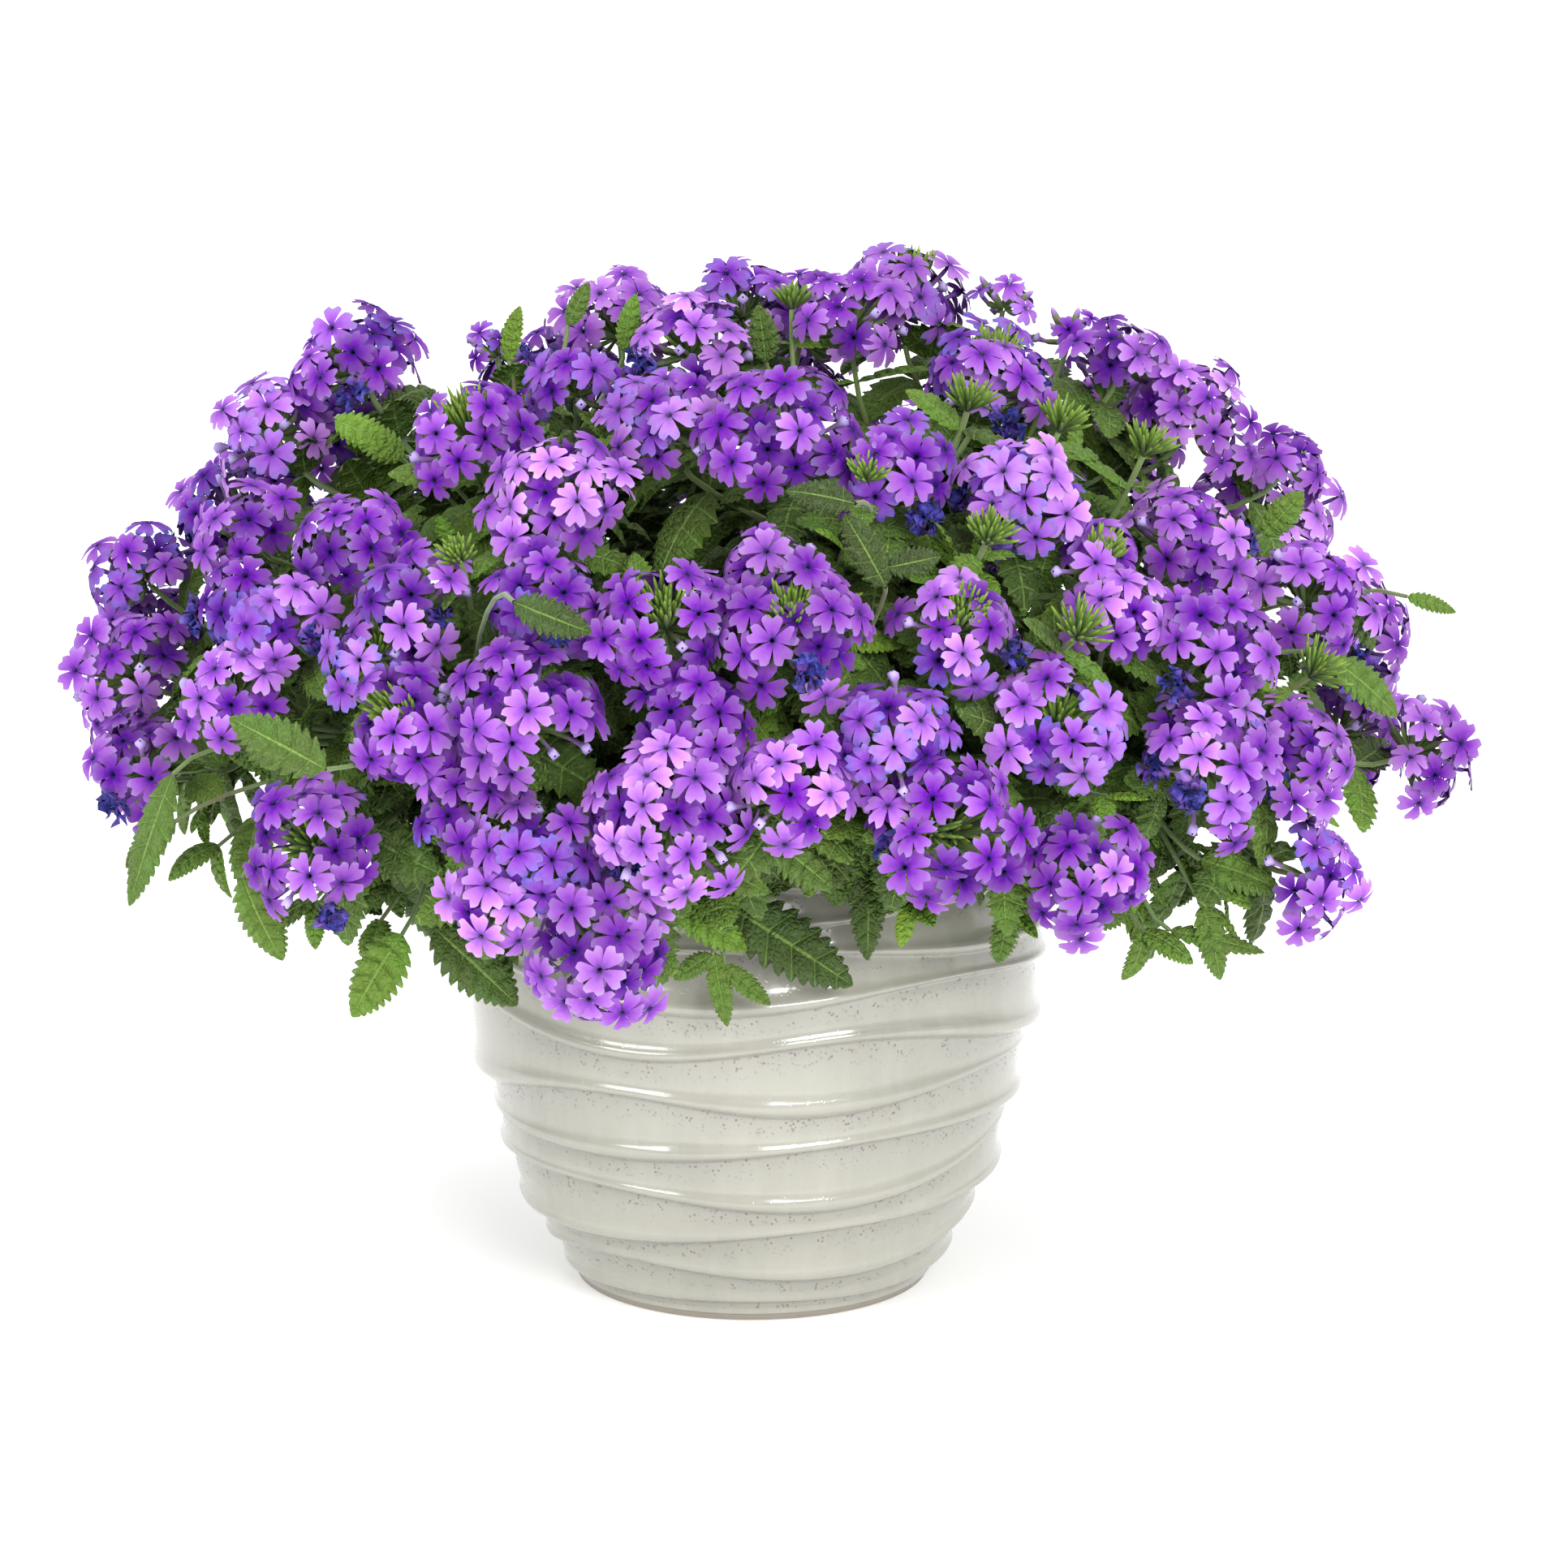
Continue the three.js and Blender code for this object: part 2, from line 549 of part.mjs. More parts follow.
// A round stem along a curve, with few sides.
function tube(curve, radius, sides, steps) {
  const ring = Array.from({ length: sides }, (_, k) => {
    const angle = (2 * Math.PI * k) / sides;
    return new THREE.Vector2(radius * Math.cos(angle), radius * Math.sin(angle));
  });
  const geometry = new THREE.ExtrudeGeometry(new THREE.Shape(ring), {
    steps, bevelEnabled: false, extrudePath: curve,
  });
  return solid(geometry);
}

// The middle lines of the main stems, from the bottom of their holes to inside the dome.
const mainCurves = STEM_RINGS.flatMap(({ count, bearing, lift, root }) =>
  Array.from({ length: count }, (_, i) => {
    const out = bearingOf(bearing + (360 * i) / count);
    const foot = out.clone().multiplyScalar(root).setZ(SOIL_LEVEL - SOIL_DEPTH);
    const rise = Math.sin(lift * DEG);
    const spread = Math.cos(lift * DEG);
    const tip = vec(
      out.x * spread * MOUND.across, out.y * spread * MOUND.deep, rise * MOUND.rise,
    ).multiplyScalar(STEM_REACH).add(vec(0, 0, MOUND.level + STEM_CLEARANCE * spread));
    const upright = foot.clone().setZ(SOIL_LEVEL + 50);
    const leaning = tip.clone().addScaledVector(out, -40 * spread).setZ(tip.z - 40 * rise);
    return new THREE.CubicBezierCurve3(foot, upright, leaning, tip);
  }),
);

// The point of a stem's middle line at a share of its length, on the straight stretch between two steps.
function axisPoint(curve, steps, share) {
  const k = Math.min(steps - 1, Math.floor(share * steps));
  return curve.getPointAt(k / steps).lerp(curve.getPointAt((k + 1) / steps), share * steps - k);
}

// A branch leaves its main stem halfway between the stem's direction and the head's, and ends square to
// the head.
function branchCurve(main, fork, end, facing, bend) {
  const start = axisPoint(main, STEM_STEPS, fork);
  const span = start.distanceTo(end);
  const leaving = end.clone().sub(start).normalize().add(main.getTangentAt(fork)).normalize();
  return new THREE.CubicBezierCurve3(
    start,
    start.clone().addScaledVector(leaving, bend * span),
    end.clone().addScaledVector(facing, -bend * span),
    end,
  );
}

// ---- leaves -------------------------------------------------------------------------------------------

// A toothed blade, thick along its midrib and curving down towards its tip. spare makes it larger all round.
function leaf({ root, along, face, length, width, droop }, spare = 0) {
  const side = along.clone().cross(face).normalize();
  const up = side.clone().cross(along).normalize();
  const at = (t, s, h) =>
    root.clone()
      .addScaledVector(along, (length + 2 * spare) * t * (1 - 0.3 * droop * t))
      .addScaledVector(side, s * (width / 2 + 2 * spare))
      .addScaledVector(up, h - droop * length * t * t + LEAF_CUP * width * Math.abs(s));
  const left = LEAF_EDGE.map(([t, s]) => at(t, s, 0));
  const right = LEAF_EDGE.map(([t, s]) => at(t, -s, 0));
  const rim = [at(0, 0, 0), ...left, at(1, 0, 0), ...right.reverse()];
  const tops = LEAF_RIDGE.map((t) => at(t, 0, LEAF_THICKNESS / 2 + spare));
  const unders = LEAF_RIDGE.map((t) => at(t, 0, -LEAF_THICKNESS / 2 - spare));
  const points = [...rim, ...tops, ...unders];
  const faces = [];
  // Each rim edge fans to the ridge point beside it, and the ridge joins them where that changes.
  const ridgeOf = (k) => (k > 2 && k < rim.length - 2 ? 1 : 0);
  for (const [first, flip] of [[rim.length, true], [rim.length + LEAF_RIDGE.length, false]]) {
    const put = (a, b, c) => faces.push(flip ? [a, c, b] : [a, b, c]);
    rim.forEach((_, k) => {
      const next = (k + 1) % rim.length;
      put(next, k, first + ridgeOf(k));
      if (ridgeOf(k) !== ridgeOf(next)) put(next, first + ridgeOf(k), first + ridgeOf(next));
    });
  }
  return solid(polyhedron(points, faces));
}

// ---- leafy stems --------------------------------------------------------------------------------------

const potSolid = solid(pot());
const soilWhole = soil();

const mains = mainCurves.map((curve) => ({
  curve, whole: tube(curve, STEM_RADIUS, 4, STEM_STEPS), forks: new Set(),
}));

// Whether a piece of one main stem is clear of the pot, the heads and the other main stems.
function isClear(probe, own) {
  const others = mains.filter((main) => main !== own).map((main) => main.whole);
  return !touchesAny(probe, [potSolid, ...blooms, ...others]);
}

// The main stems and forks that a branch to a point could leave from, the shortest and straightest way first.
function forkChoices(end) {
  const choices = mains.flatMap((main) =>
    FORKS.filter((fork) => !main.forks.has(fork)).map((fork) => {
      const start = main.curve.getPointAt(fork);
      const lean = end.clone().sub(start).normalize().dot(main.curve.getTangentAt(fork));
      return { main, fork, cost: start.distanceTo(end) * (1.6 - 0.6 * lean) };
    }),
  );
  return choices.sort((a, b) => a.cost - b.cost);
}

// Grows a branch that ends a gap below a head's core.
function growBranch(head) {
  const end = head.hub.clone().addScaledVector(head.facing, -(0.1 * head.radius + GAP));
  for (const { main, fork } of forkChoices(end)) {
    for (const bend of BENDS) {
      const curve = branchCurve(main.curve, fork, end, head.facing, bend);
      if (!isClear(tube(curve, PROBE_RADIUS, 6, BRANCH_STEPS), main)) continue;
      const joined = join(main.whole, tube(curve, BRANCH_RADIUS, 3, BRANCH_STEPS), SEAM_TRIANGLES.branch);
      if (!joined) continue;
      main.whole = joined;
      main.forks.add(fork);
      return;
    }
  }
  throw new Error(`no branch reaches the head at ${head.hub.toArray().map(Math.round)}`);
}

// Adds a leaf at a point of a shoot, turned about the shoot until it is clear of all else.
function growLeaf(owner, curve, share, turn, length, spread, others) {
  const tangent = curve.getTangentAt(share);
  const [u, v] = sidesOf(tangent);
  const axis = axisPoint(curve, SHOOT_STEPS, share);
  for (const [offset, droop, shorter] of LEAF_TRIES) {
    const angle = (turn + offset) * DEG;
    const outward = u.clone().multiplyScalar(Math.cos(angle)).addScaledVector(v, Math.sin(angle));
    const along = tangent.clone().multiplyScalar(Math.cos(spread * DEG));
    along.addScaledVector(outward, Math.sin(spread * DEG));
    const face = spread < 10 ? vec(0, 0, 1).addScaledVector(outward, 0.3) : vec(0, 0, 0.6).sub(tangent);
    const root = axis.clone().addScaledVector(along, -LEAF_SINK);
    const reach = shorter * length;
    const shape = { root, along, face, droop, length: reach, width: LEAF_SHAPE * reach };
    if (touchesAny(leaf(shape, LEAF_SPARE), others)) continue;
    const joined = join(owner.whole, leaf(shape), SEAM_TRIANGLES.leaf);
    if (!joined) continue;
    owner.whole = joined;
    return;
  }
}

// Grows a leafy shoot to a tip from the nearest main stem with room for it: pairs of leaves at some shares of
// its length, each pair square to the one before, and a leaf at its end where it is tipped.
function growShoot({ tip, last, length, stops, turn, tipped }) {
  const away = (main) => main.curve.getPoint(1).distanceTo(tip);
  for (const owner of mains.toSorted((a, b) => away(a) - away(b))) {
    for (const fork of [0.95, 0.8, 0.65]) {
      for (const lift of [30, 45, 15]) {
        const start = axisPoint(owner.curve, STEM_STEPS, fork);
        const leaving = start.clone().addScaledVector(owner.curve.getTangentAt(fork), lift);
        const nearing = tip.clone().addScaledVector(last, -40);
        const curve = new THREE.CubicBezierCurve3(start, leaving, nearing, tip);
        if (!isClear(tube(curve, PROBE_RADIUS, 6, SHOOT_STEPS), owner)) continue;
        const shoot = tube(curve, BRANCH_RADIUS, 3, SHOOT_STEPS);
        const joined = join(owner.whole, shoot, SEAM_TRIANGLES.branch);
        if (!joined) continue;
        const rest = mains.filter((main) => main !== owner).map((main) => main.whole);
        const others = [potSolid, soilWhole, ...blooms, ...rest, owner.whole];
        owner.whole = joined;
        stops.forEach((share, i) => {
          growLeaf(owner, curve, share, turn + 90 * i, length, LEAF_SPREAD, others);
          growLeaf(owner, curve, share, turn + 90 * i + 180, 0.92 * length, LEAF_SPREAD, others);
        });
        if (tipped) growLeaf(owner, curve, 1, turn, 0.9 * length, 4, others);
        return;
      }
    }
  }
}

// One branch to each bunch, to its largest head.
const carried = new Set();
for (const head of settled.toSorted((a, b) => b.radius - a.radius)) {
  if (!carried.has(head.node)) growBranch(head);
  carried.add(head.node);
}

SHOOTS.forEach(([bearing, reach, height, length], i) => {
  const out = bearingOf(bearing);
  const tip = out.clone().multiplyScalar(reach).setZ(height);
  const last = vec(0, 0, -0.8).add(out).normalize();
  growShoot({ tip, last, length, stops: [1 / 3, 2 / 3], turn: 40 * i, tipped: true });
});

TIPS.forEach(([bearing, lift, length], i) => {
  const out = bearingOf(bearing).multiplyScalar(Math.cos(lift * DEG));
  const way = vec(out.x * MOUND.across, out.y * MOUND.deep, MOUND.rise * Math.sin(lift * DEG));
  const tip = way.clone().multiplyScalar(TIP_REACH).setZ(TIP_REACH * way.z + MOUND.level);
  growShoot({ tip, last: way.normalize(), length, stops: [0.97], turn: 50 * i, tipped: false });
});

// The soil with a plain hole round each main stem.
function drilledSoil() {
  const holes = mainCurves.map((curve) => {
    const bottom = curve.v0.clone().add(vec(0, 0, -GAP));
    const deeper = new THREE.CubicBezierCurve3(bottom, curve.v1, curve.v2, curve.v3);
    return tube(deeper, STEM_RADIUS + 1.5 * GAP, 4, STEM_STEPS);
  });
  return soilWhole.subtract(wasm.Manifold.union(holes));
}

// ---- assembly -----------------------------------------------------------------------------------------

const plant = new THREE.Group();

function add(name, geometry, color, roughness, metalness = 0) {
  const material = new THREE.MeshStandardMaterial({ color, roughness, metalness, flatShading: true });
  const mesh = new THREE.Mesh(geometry, material);
  mesh.name = name;
  plant.add(mesh);
}

add("pot", pot(), rgb(0.82, 0.81, 0.76), 0.15);
add("potting_soil", geometryOf(drilledSoil()), rgb(0.13, 0.09, 0.06), 1);
mains.forEach((main, i) =>
  add(`leafy_stem_${String(i + 1).padStart(2, "0")}`, geometryOf(main.whole), rgb(0.25, 0.42, 0.15), 0.7),
);
blooms.forEach((bloom, i) =>
  add(
    `blooms_${String(i + 1).padStart(2, "0")}`, geometryOf(bloom.simplify(FACET_SLACK)),
    rgb(0.5, 0.25, 0.78), 0.6,
  ),
);

export default plant;
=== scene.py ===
"""A potted verbena in flower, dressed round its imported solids.

The shapes are worked out in millimetres, with +Z up and the front facing -Y, and become metres in Piece.make.
"""

import math

import bpy
import numpy as np
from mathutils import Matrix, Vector


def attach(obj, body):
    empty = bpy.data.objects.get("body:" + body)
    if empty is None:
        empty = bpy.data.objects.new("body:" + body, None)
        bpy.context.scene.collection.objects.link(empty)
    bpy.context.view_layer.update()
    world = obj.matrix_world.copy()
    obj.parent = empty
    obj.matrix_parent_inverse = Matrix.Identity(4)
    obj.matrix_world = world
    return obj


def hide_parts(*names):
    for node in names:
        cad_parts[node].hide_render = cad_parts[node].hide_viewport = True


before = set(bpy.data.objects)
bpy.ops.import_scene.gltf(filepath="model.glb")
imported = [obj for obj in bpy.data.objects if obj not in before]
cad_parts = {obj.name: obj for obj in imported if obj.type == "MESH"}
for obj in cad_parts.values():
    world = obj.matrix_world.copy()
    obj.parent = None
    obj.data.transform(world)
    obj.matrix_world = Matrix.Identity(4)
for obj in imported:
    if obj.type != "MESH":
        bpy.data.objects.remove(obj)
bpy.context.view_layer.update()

MM = 0.001
DEG = math.pi / 180
GOLDEN_TURN = math.pi * (3 - math.sqrt(5))
# Rounded turns in radians, for what is turned at random or pair by pair.
FULL_TURN, HALF_TURN, QUARTER_TURN = 6.28, 3.14, 1.57

# The seed of the first thing of each kind. The next one has the next seed.
SEEDS = {
    "soil": 5, "tier": 40, "floret": 100, "main stem": 300, "head": 500, "tuft": 900, "branch": 1000,
    "tuft stem": 1300, "shoot": 1500, "tip": 1700, "single leaf": 1900,
}

# ---- camera ----

CAMERA_AIM = np.array([12.8, 0, 198.4])
CAMERA_ELEVATION = 12.4 * DEG
CAMERA_DISTANCE = 2000
CAMERA_LENS = 116.5
CAMERA_SENSOR = 36
CAMERA_CLIP = 50  # metres

# ---- the dome and its flower heads, as in the part's source ----

MOUND_HALF = np.array([262.0, 228.0])  # half widths across and deep
MOUND_RISE = 192
MOUND_DROP = 100
MOUND_LEVEL = 200
UPTURN = 0.35
HUB_DEPTH = 0.5  # of a head's radius, from the dome's surface to the hub where its stalks meet

# Heads of the front and the crown: [across, height, radius, how far sunk into the dome].
FRONT_HEADS = [
    [-30, 237, 29, 0], [-55, 183, 26, 0], [-83, 272, 28, 0], [15, 303, 26, 0], [11, 361, 28, -4],
    [173, 246, 28, 0], [173, 285, 26, 0], [74, 233, 27, 0], [125, 212, 23, 4], [15, 250, 23, 4],
    [-163, 217, 25, 0], [54, 267, 23, 6], [115, 268, 23, 4], [-30, 304, 25, 0], [78, 304, 22, 6],
    [-126, 267, 24, 4], [-139, 289, 21, 4], [-80, 224, 21, 4], [-92, 203, 18, 0], [-20, 275, 21, 8],
    [-105, 240, 20, 12], [-241, 228, 22, 4], [-193, 266, 21, 0], [-177, 293, 21, 4], [-246, 257, 26, 0],
    [-244, 288, 23, 0], [-200, 298, 18, 8], [-124, 307, 22, 4], [-151, 324, 22, 6], [-196, 317, 21, 2],
    [-105, 358, 24, 0], [-70, 343, 26, 0], [-75, 311, 22, 6], [11, 325, 21, 12], [-31, 368, 23, 4],
    [-67, 375, 19, 4], [-153, 368, 26, -6], [-190, 348, 26, 0], [-23, 386, 23, 0], [41, 393, 22, 4],
    [93, 375, 26, 0], [56, 352, 22, 4], [103, 340, 25, 0], [131, 320, 19, 6], [139, 303, 18, 6],
    [170, 324, 23, 6], [218, 291, 27, 0], [212, 240, 23, 4], [266, 213, 26, -6], [219, 190, 21, 4],
    [174, 349, 26, -4], [146, 371, 21, -4], [211, 328, 15, -4],
]
# Small heads behind the crown: [across, depth behind the axis, height, radius].
CROWN_HEADS = [
    [61, 34, 396, 26], [100, 30, 389, 13], [126, 26, 376, 12], [-100, 10, 372, 11], [-4, 34, 390, 24],
]
# Tiers of heads round the back: [height, number, first bearing, last bearing, radius].
BACK_TIERS = [
    [206, 8, 104, 255, 30], [254, 7, 99, 261, 32], [304, 6, 103, 257, 32], [350, 5, 108, 252, 30],
    [380, 2, 165, 222, 28],
]
TIER_JITTER = [8, 14, 4]  # of bearing, height and radius

# Heads without florets in the middle, by their place among all heads: with a dense tuft of green buds, and
# with few buds, which leave the stalks in sight.
TUFTED_HEADS = {3, 13, 14, 15, 30, 40, 43, 53}
OPEN_HEADS = {7, 10, 12, 16, 29, 36, 37, 51}
SPRIG_RADIUS = 14  # a smaller head is a loose sprig of a few florets and buds
# Tufts of green buds alone: [across, height, size].
GREEN_TUFTS = [
    [16, 392, 10], [117, 357, 12], [87, 326, 11], [43, 346, 9], [120, 294, 13], [213, 267, 13], [82, 366, 12],
    [150, 346, 12], [65, 231, 12], [-105, 318, 9],
]

# ---- stems and leaves ----

SOIL_LEVEL = 188
SOIL_DEPTH = 45
# Main stems in rings: [number, first bearing, degrees above the dome's level, where they leave the soil].
STEM_RINGS = [[7, 8, 8, 66], [4, 25, 48, 30]]
STEM_FOOT_UPRIGHT = 50
STEM_TIP_STRAIGHT = 40
STEM_REACH = 0.55
STEM_CLEARANCE = 22
# Kinds of stem: [rings, sides, radius, its shares at the foot and lost on the way to the end].
MAIN_STEM = 14, 8, 2.2, 1.15, 0.4
BRANCH = 10, 6, 1.3, 1.1, 0.25
TUFT_STEM = 10, 6, 1.3, 0.9, 0
SHOOT_STEM = 12, 6, 1.3, 1.1, 0.5
LEAF_STALK = 10, 5, 0.9, 1, 0
STEM_TINTS = (0.3, 0.9)
FORKS = np.linspace(0.5, 0.98, 7)  # where branches may leave a main stem, as shares of its length

# Where leaf pairs sit, as shares of the stem's length, and how long their leaves are.
MAIN_PAIRS = [(share, 50) for share in np.linspace(0.34, 0.96, 11)]
BRANCH_PAIRS = (0.22, 44), (0.38, 44), (0.54, 42), (0.69, 38), (0.83, 34)
TUFT_PAIRS = (0.7, 30), (0.9, 24)
SHOOT_PAIRS = 0.4, 0.62, 0.82
TIP_PAIRS = 0.62, 0.86
# The angle between leaf and stem, and the leaf's tone from dark to light.
MAIN_LEAVES = 68 * DEG, 0.2
BRANCH_LEAVES = 68 * DEG, 0.36
YOUNG_SPREAD, TIP_TONE, SHOOT_TONE = 62 * DEG, 0.5, 0.33
TUFT_LEAVES = YOUNG_SPREAD, TIP_TONE
END_SPREAD, END_TONE = 38 * DEG, 0.3  # of a shoot's last pair, whose tone is added to the shoot's
LEAF_SAG = 0.12  # of a leaf's direction
LEAF_TONES = 0.15  # how far tones spread
LEAF_LENGTHS = (0.75, 1.1)
LEAF_WIDTHS = (0.52, 0.66)
# A blade's form, as shares of its length or width.
LEAF_SWEEP = 0.12  # of its side veins towards the tip
LEAF_TEETH = 0.4  # where they begin, from the middle to the edge
LEAF_QUILT = 0.085
LEAF_ROLL = 0.12  # of its edge
LEAF_CURLS = (0.2, 1.1)
LEAF_SWAYS = (-0.25, 0.25)
LEAF_CUPS = (0.02, 0.3)

# Leafy shoots that hang over the rim: [bearing, reach of the tip, height of the tip, leaf length].
SHOOTS = [
    [-4, 142, 196, 44], [24, 146, 182, 38], [56, 176, 186, 40], [80, 220, 196, 38], [-36, 160, 188, 44],
    [-66, 195, 182, 44], [-95, 238, 190, 40], [-142, 170, 188, 42], [135, 168, 188, 42],
    [10, 150, 204, 34], [38, 158, 176, 36], [68, 196, 172, 36], [-20, 150, 200, 36], [-50, 176, 190, 38],
    [-80, 214, 198, 38], [95, 226, 204, 36], [112, 200, 186, 38], [-112, 205, 184, 38], [158, 164, 192, 38],
    [-165, 164, 186, 38], [180, 172, 198, 38], [-125, 196, 200, 36], [124, 194, 202, 36], [47, 188, 204, 34],
    [-48, 186, 172, 44], [-57, 196, 176, 42], [52, 188, 166, 44], [59, 204, 172, 42], [-67, 220, 192, 40],
    [44, 170, 176, 40], [40, 180, 208, 38], [140, 190, 178, 40], [-150, 186, 180, 40], [58, 172, 204, 44],
    [64, 186, 192, 42], [50, 160, 196, 44],
]
SHOOT_DROP = 0.8  # how steeply a shoot's end hangs
# Leafy tips between the heads: [bearing, degrees above the dome's level, leaf length].
TIPS = [
    [-30, 62, 32], [80, 22, 38], [-78, 4, 36], [28, 40, 38], [-52, 14, 38], [160, 30, 38], [-140, 35, 38],
    [10, 34, 34], [12, 44, 36], [-14, 36, 30], [50, 26, 34], [62, 12, 34], [-66, 30, 32], [-40, 42, 32],
    [35, 10, 34], [110, 20, 36], [-110, 18, 36], [140, 52, 34], [-160, 55, 34], [180, 14, 36], [90, 50, 30],
    [72, 42, 36], [66, 54, 34], [76, 32, 36], [60, 21, 34], [-128, 42, 36], [-96, 50, 32],
]
TIP_REACH = 0.88
# Single leaves: [root across, root height, tip across, tip height, depth in front of the axis, width, tone].
SINGLE_LEAVES = [
    [-10, 182, 38, 153, 130, 26, -0.6], [-32, 188, -1, 167, 139, 17, 0.7], [-13, 165, -9, 137, 137, 10, 0.3],
    [-9, 160, 7, 145, 137, 9, 0.2], [-14, 164, -28, 156, 137, 9, 0.1], [-185, 196, -174, 165, 150, 18, 0.3],
    [-127, 175, -147, 146, 150, 22, 0.6], [-116, 175, -85, 147, 141, 24, -0.3],
    [-84, 172, -105, 149, 131, 16, -0.2], [-61, 180, -67, 158, 136, 14, -0.4],
    [-150, 246, -182, 265, 192, 20, -0.1], [-213, 229, -232, 181, 122, 16, 0],
    [-216, 205, -236, 190, 96, 14, 0.1],
    [-82, 308, -56, 297, 201, 15, -0.7], [43, 199, 46, 159, 126, 15, -0.5], [29, 205, 33, 180, 127, 14, -0.2],
    [80, 201, 81, 178, 121, 14, -0.4], [58, 204, 62, 186, 124, 15, -0.3], [98, 196, 101, 176, 118, 14, -0.2],
    [218, 266, 244, 248, 91, 17, 0.1], [225, 290, 239, 265, 60, 15, -0.4], [254, 277, 273, 274, 20, 8, 0.4],
    [194, 308, 208, 324, 60, 14, 0.3], [168, 194, 198, 186, 112, 17, 0.1], [169, 177, 178, 149, 112, 14, 0.2],
    [157, 167, 192, 161, 112, 9, 0.1], [-71, 380, -63, 396, 0, 11, 0.1], [-94, 366, -92, 387, 0, 11, 0.9],
    [-49, 373, -46, 394, 20, 11, 0.6], [6, 371, 4, 392, 40, 13, -0.2], [38, 338, 15, 345, 171, 13, -0.8],
    [49, 308, 36, 334, 171, 15, -0.7], [50, 315, 68, 319, 171, 12, -0.8], [-156, 352, -134, 343, 61, 14, 0.7],
    [-130, 338, -150, 349, 61, 14, 0.5], [-107, 198, -127, 209, 161, 14, -0.1],
    [-20, 216, 6, 200, 190, 16, 0.1],
    [8, 220, 30, 204, 190, 18, -0.1], [-50, 214, -70, 196, 180, 17, 0.2],
]

# ---- pot ----

POT_HEIGHT = 205
POT_WALL = 9
POT_FLOOR = 14
FOOT_RADIUS = 71
FOOT_HEIGHT = 2.5
FOOT_FADE = 0.6  # how far up the bare foot fades into the glaze
SOIL_SIDE_HEIGHT = 120  # where the inner wall turns from steep to sloping
LIP_HEIGHT = 3  # above the highest band
FRONT_BEARING = 75 * DEG  # of the first and last heights of a crease
POT_OUTLINE = np.array([
    [0, 72], [22, 84], [47, 96.5], [76, 104.5], [106, 112], [138, 117.5], [165, 117], [205, 114.5],
])
BAND_BULGE = 3.4
# Heights of the creases between the bands, at bearings of -75 to 75 degrees in steps of 30. The back mirrors
# the front.
CREASES = np.array([
    [6, 7, 8, 8, 7, 9],
    [18, 24, 22, 18, 20, 27],
    [31, 32, 36, 41, 42, 44],
    [55, 57, 54, 50, 56, 67],
    [72, 70, 72, 77, 78, 76],
    [84, 95, 96, 91, 97, 99],
    [127, 117, 114, 121, 116, 106],
    [143, 139, 133, 137, 141, 134],
    [151, 154, 158, 157, 150, 147],
    [171, 169, 166, 168, 171, 169],
    [181, 184, 183, 181, 180, 182],
    [193, 193, 194, 193, 193, 194],
])
POT_SIDES = 168
BAND_ROWS = np.array([0, 0.03, 0.06, 0.1, 0.15, 0.21, 0.28, 0.36, 0.47, 0.6, 0.75, 0.88, 0.96])
# Each band is a roll just above its crease, on a broad swell, in shares of its height.
ROLL_PLACE = 0.16
ROLL_BELOW = 0.09
ROLL_ABOVE = 0.15
ROLL_HEIGHT = [0.13, 0.5, 3.2]  # and at least and at most so many millimetres
SWELL_HEIGHT = [0.125, 0.4, BAND_BULGE]
# How far the darkening at a crease reaches up and down: greyer glaze at the crease itself, and below it
# painted shade under the roll above.
CREASE_UP = 1.6
CREASE_PAINTED_SHADE_BELOW = 6.5
SOIL_SIDES = 72
SOIL_RINGS = 26
SOIL_CRUMB = 1.6
SOIL_CROWN = 2
SOIL_SLOPE = 7

# ---- florets ----

FLORET_RADIUS = 9.2
FLORET_SIZES = (0.88, 1.08)
FLORET_COVER = 1.23  # the area of all of a head's florets, as a share of its dome's
FLORET_SHAPES = 14
WIDEST_TILT = 104 * DEG  # of a floret from the middle of its head
TUFT_TILT = 24 * DEG  # within it, a head with a tuft in its middle has no florets
SPRIG_FLORETS = 5
SPRIG_FLORET = 0.72  # a sprig's florets, as a share of a head's
# How far out florets stand, in shares of the head's radius. Every fourth is lower, and darker as painted
# shade.
OUTER_STAND = (0.9, 1.12)
INNER_STAND = (0.7, 0.84)
INNER_PAINTED_SHADE = 0.48
HIDDEN_SHARE = 0.8  # a floret nearer to another head's hub than this share of its radius is left out
# Florets face away from the hub, turned a little to where the head faces, at random, and to the front where
# the hub is in front of a depth.
HEAD_LEAN = 0.35
RANDOM_LEAN = 0.24
FRONT_DEPTH = 60
FRONT_LEAN = np.array([0, -0.38, 0.06])
BACK_LEAN = np.array([0, 0, 0.08])
TONES = (0.25, 0.75)
TONE_SPREAD = 0.18
BUD_SHARE = 0.1  # of the florets beyond a tilt are closed lilac buds
BUD_TILT = 50 * DEG
# Older heads have bluish petal ends, and more withered florets among those that face down.
OLDER_HEADS = 0.36
BLUE_SHARE = 0.4
BLUE_AGES = (0.2, 0.5)
LOW_TILT = 60 * DEG
LOW_WAY = 0.15
WITHERED_SHARE = {True: 0.17, False: 0.06}  # of an older head's low florets, and of a young one's
WITHERED = 0.6  # the age from which petals are crumpled
# The ages of buds. A calyx under a floret has 0.
GREEN_BUD = 0.5
LILAC_BUD = 1.0
# Buds in a head's middle: [length as a share of its radius, number, widest tilt, age, thickness].
SPRIG_TUFT = [1.25, 6, 75 * DEG, LILAC_BUD, 1.5]
DENSE_TUFT = [0.86, 60, 30 * DEG, GREEN_BUD, 0.85]
OPEN_TUFT = [0.62, 26, 50 * DEG, GREEN_BUD, 0.85]
SPARSE_TUFT = [0.7, 8, 60 * DEG, GREEN_BUD, 0.9]
LONE_TUFT = [1.15, 36, 58 * DEG, GREEN_BUD, 0.72]
LONE_TUFT_DEPTH = 0.6

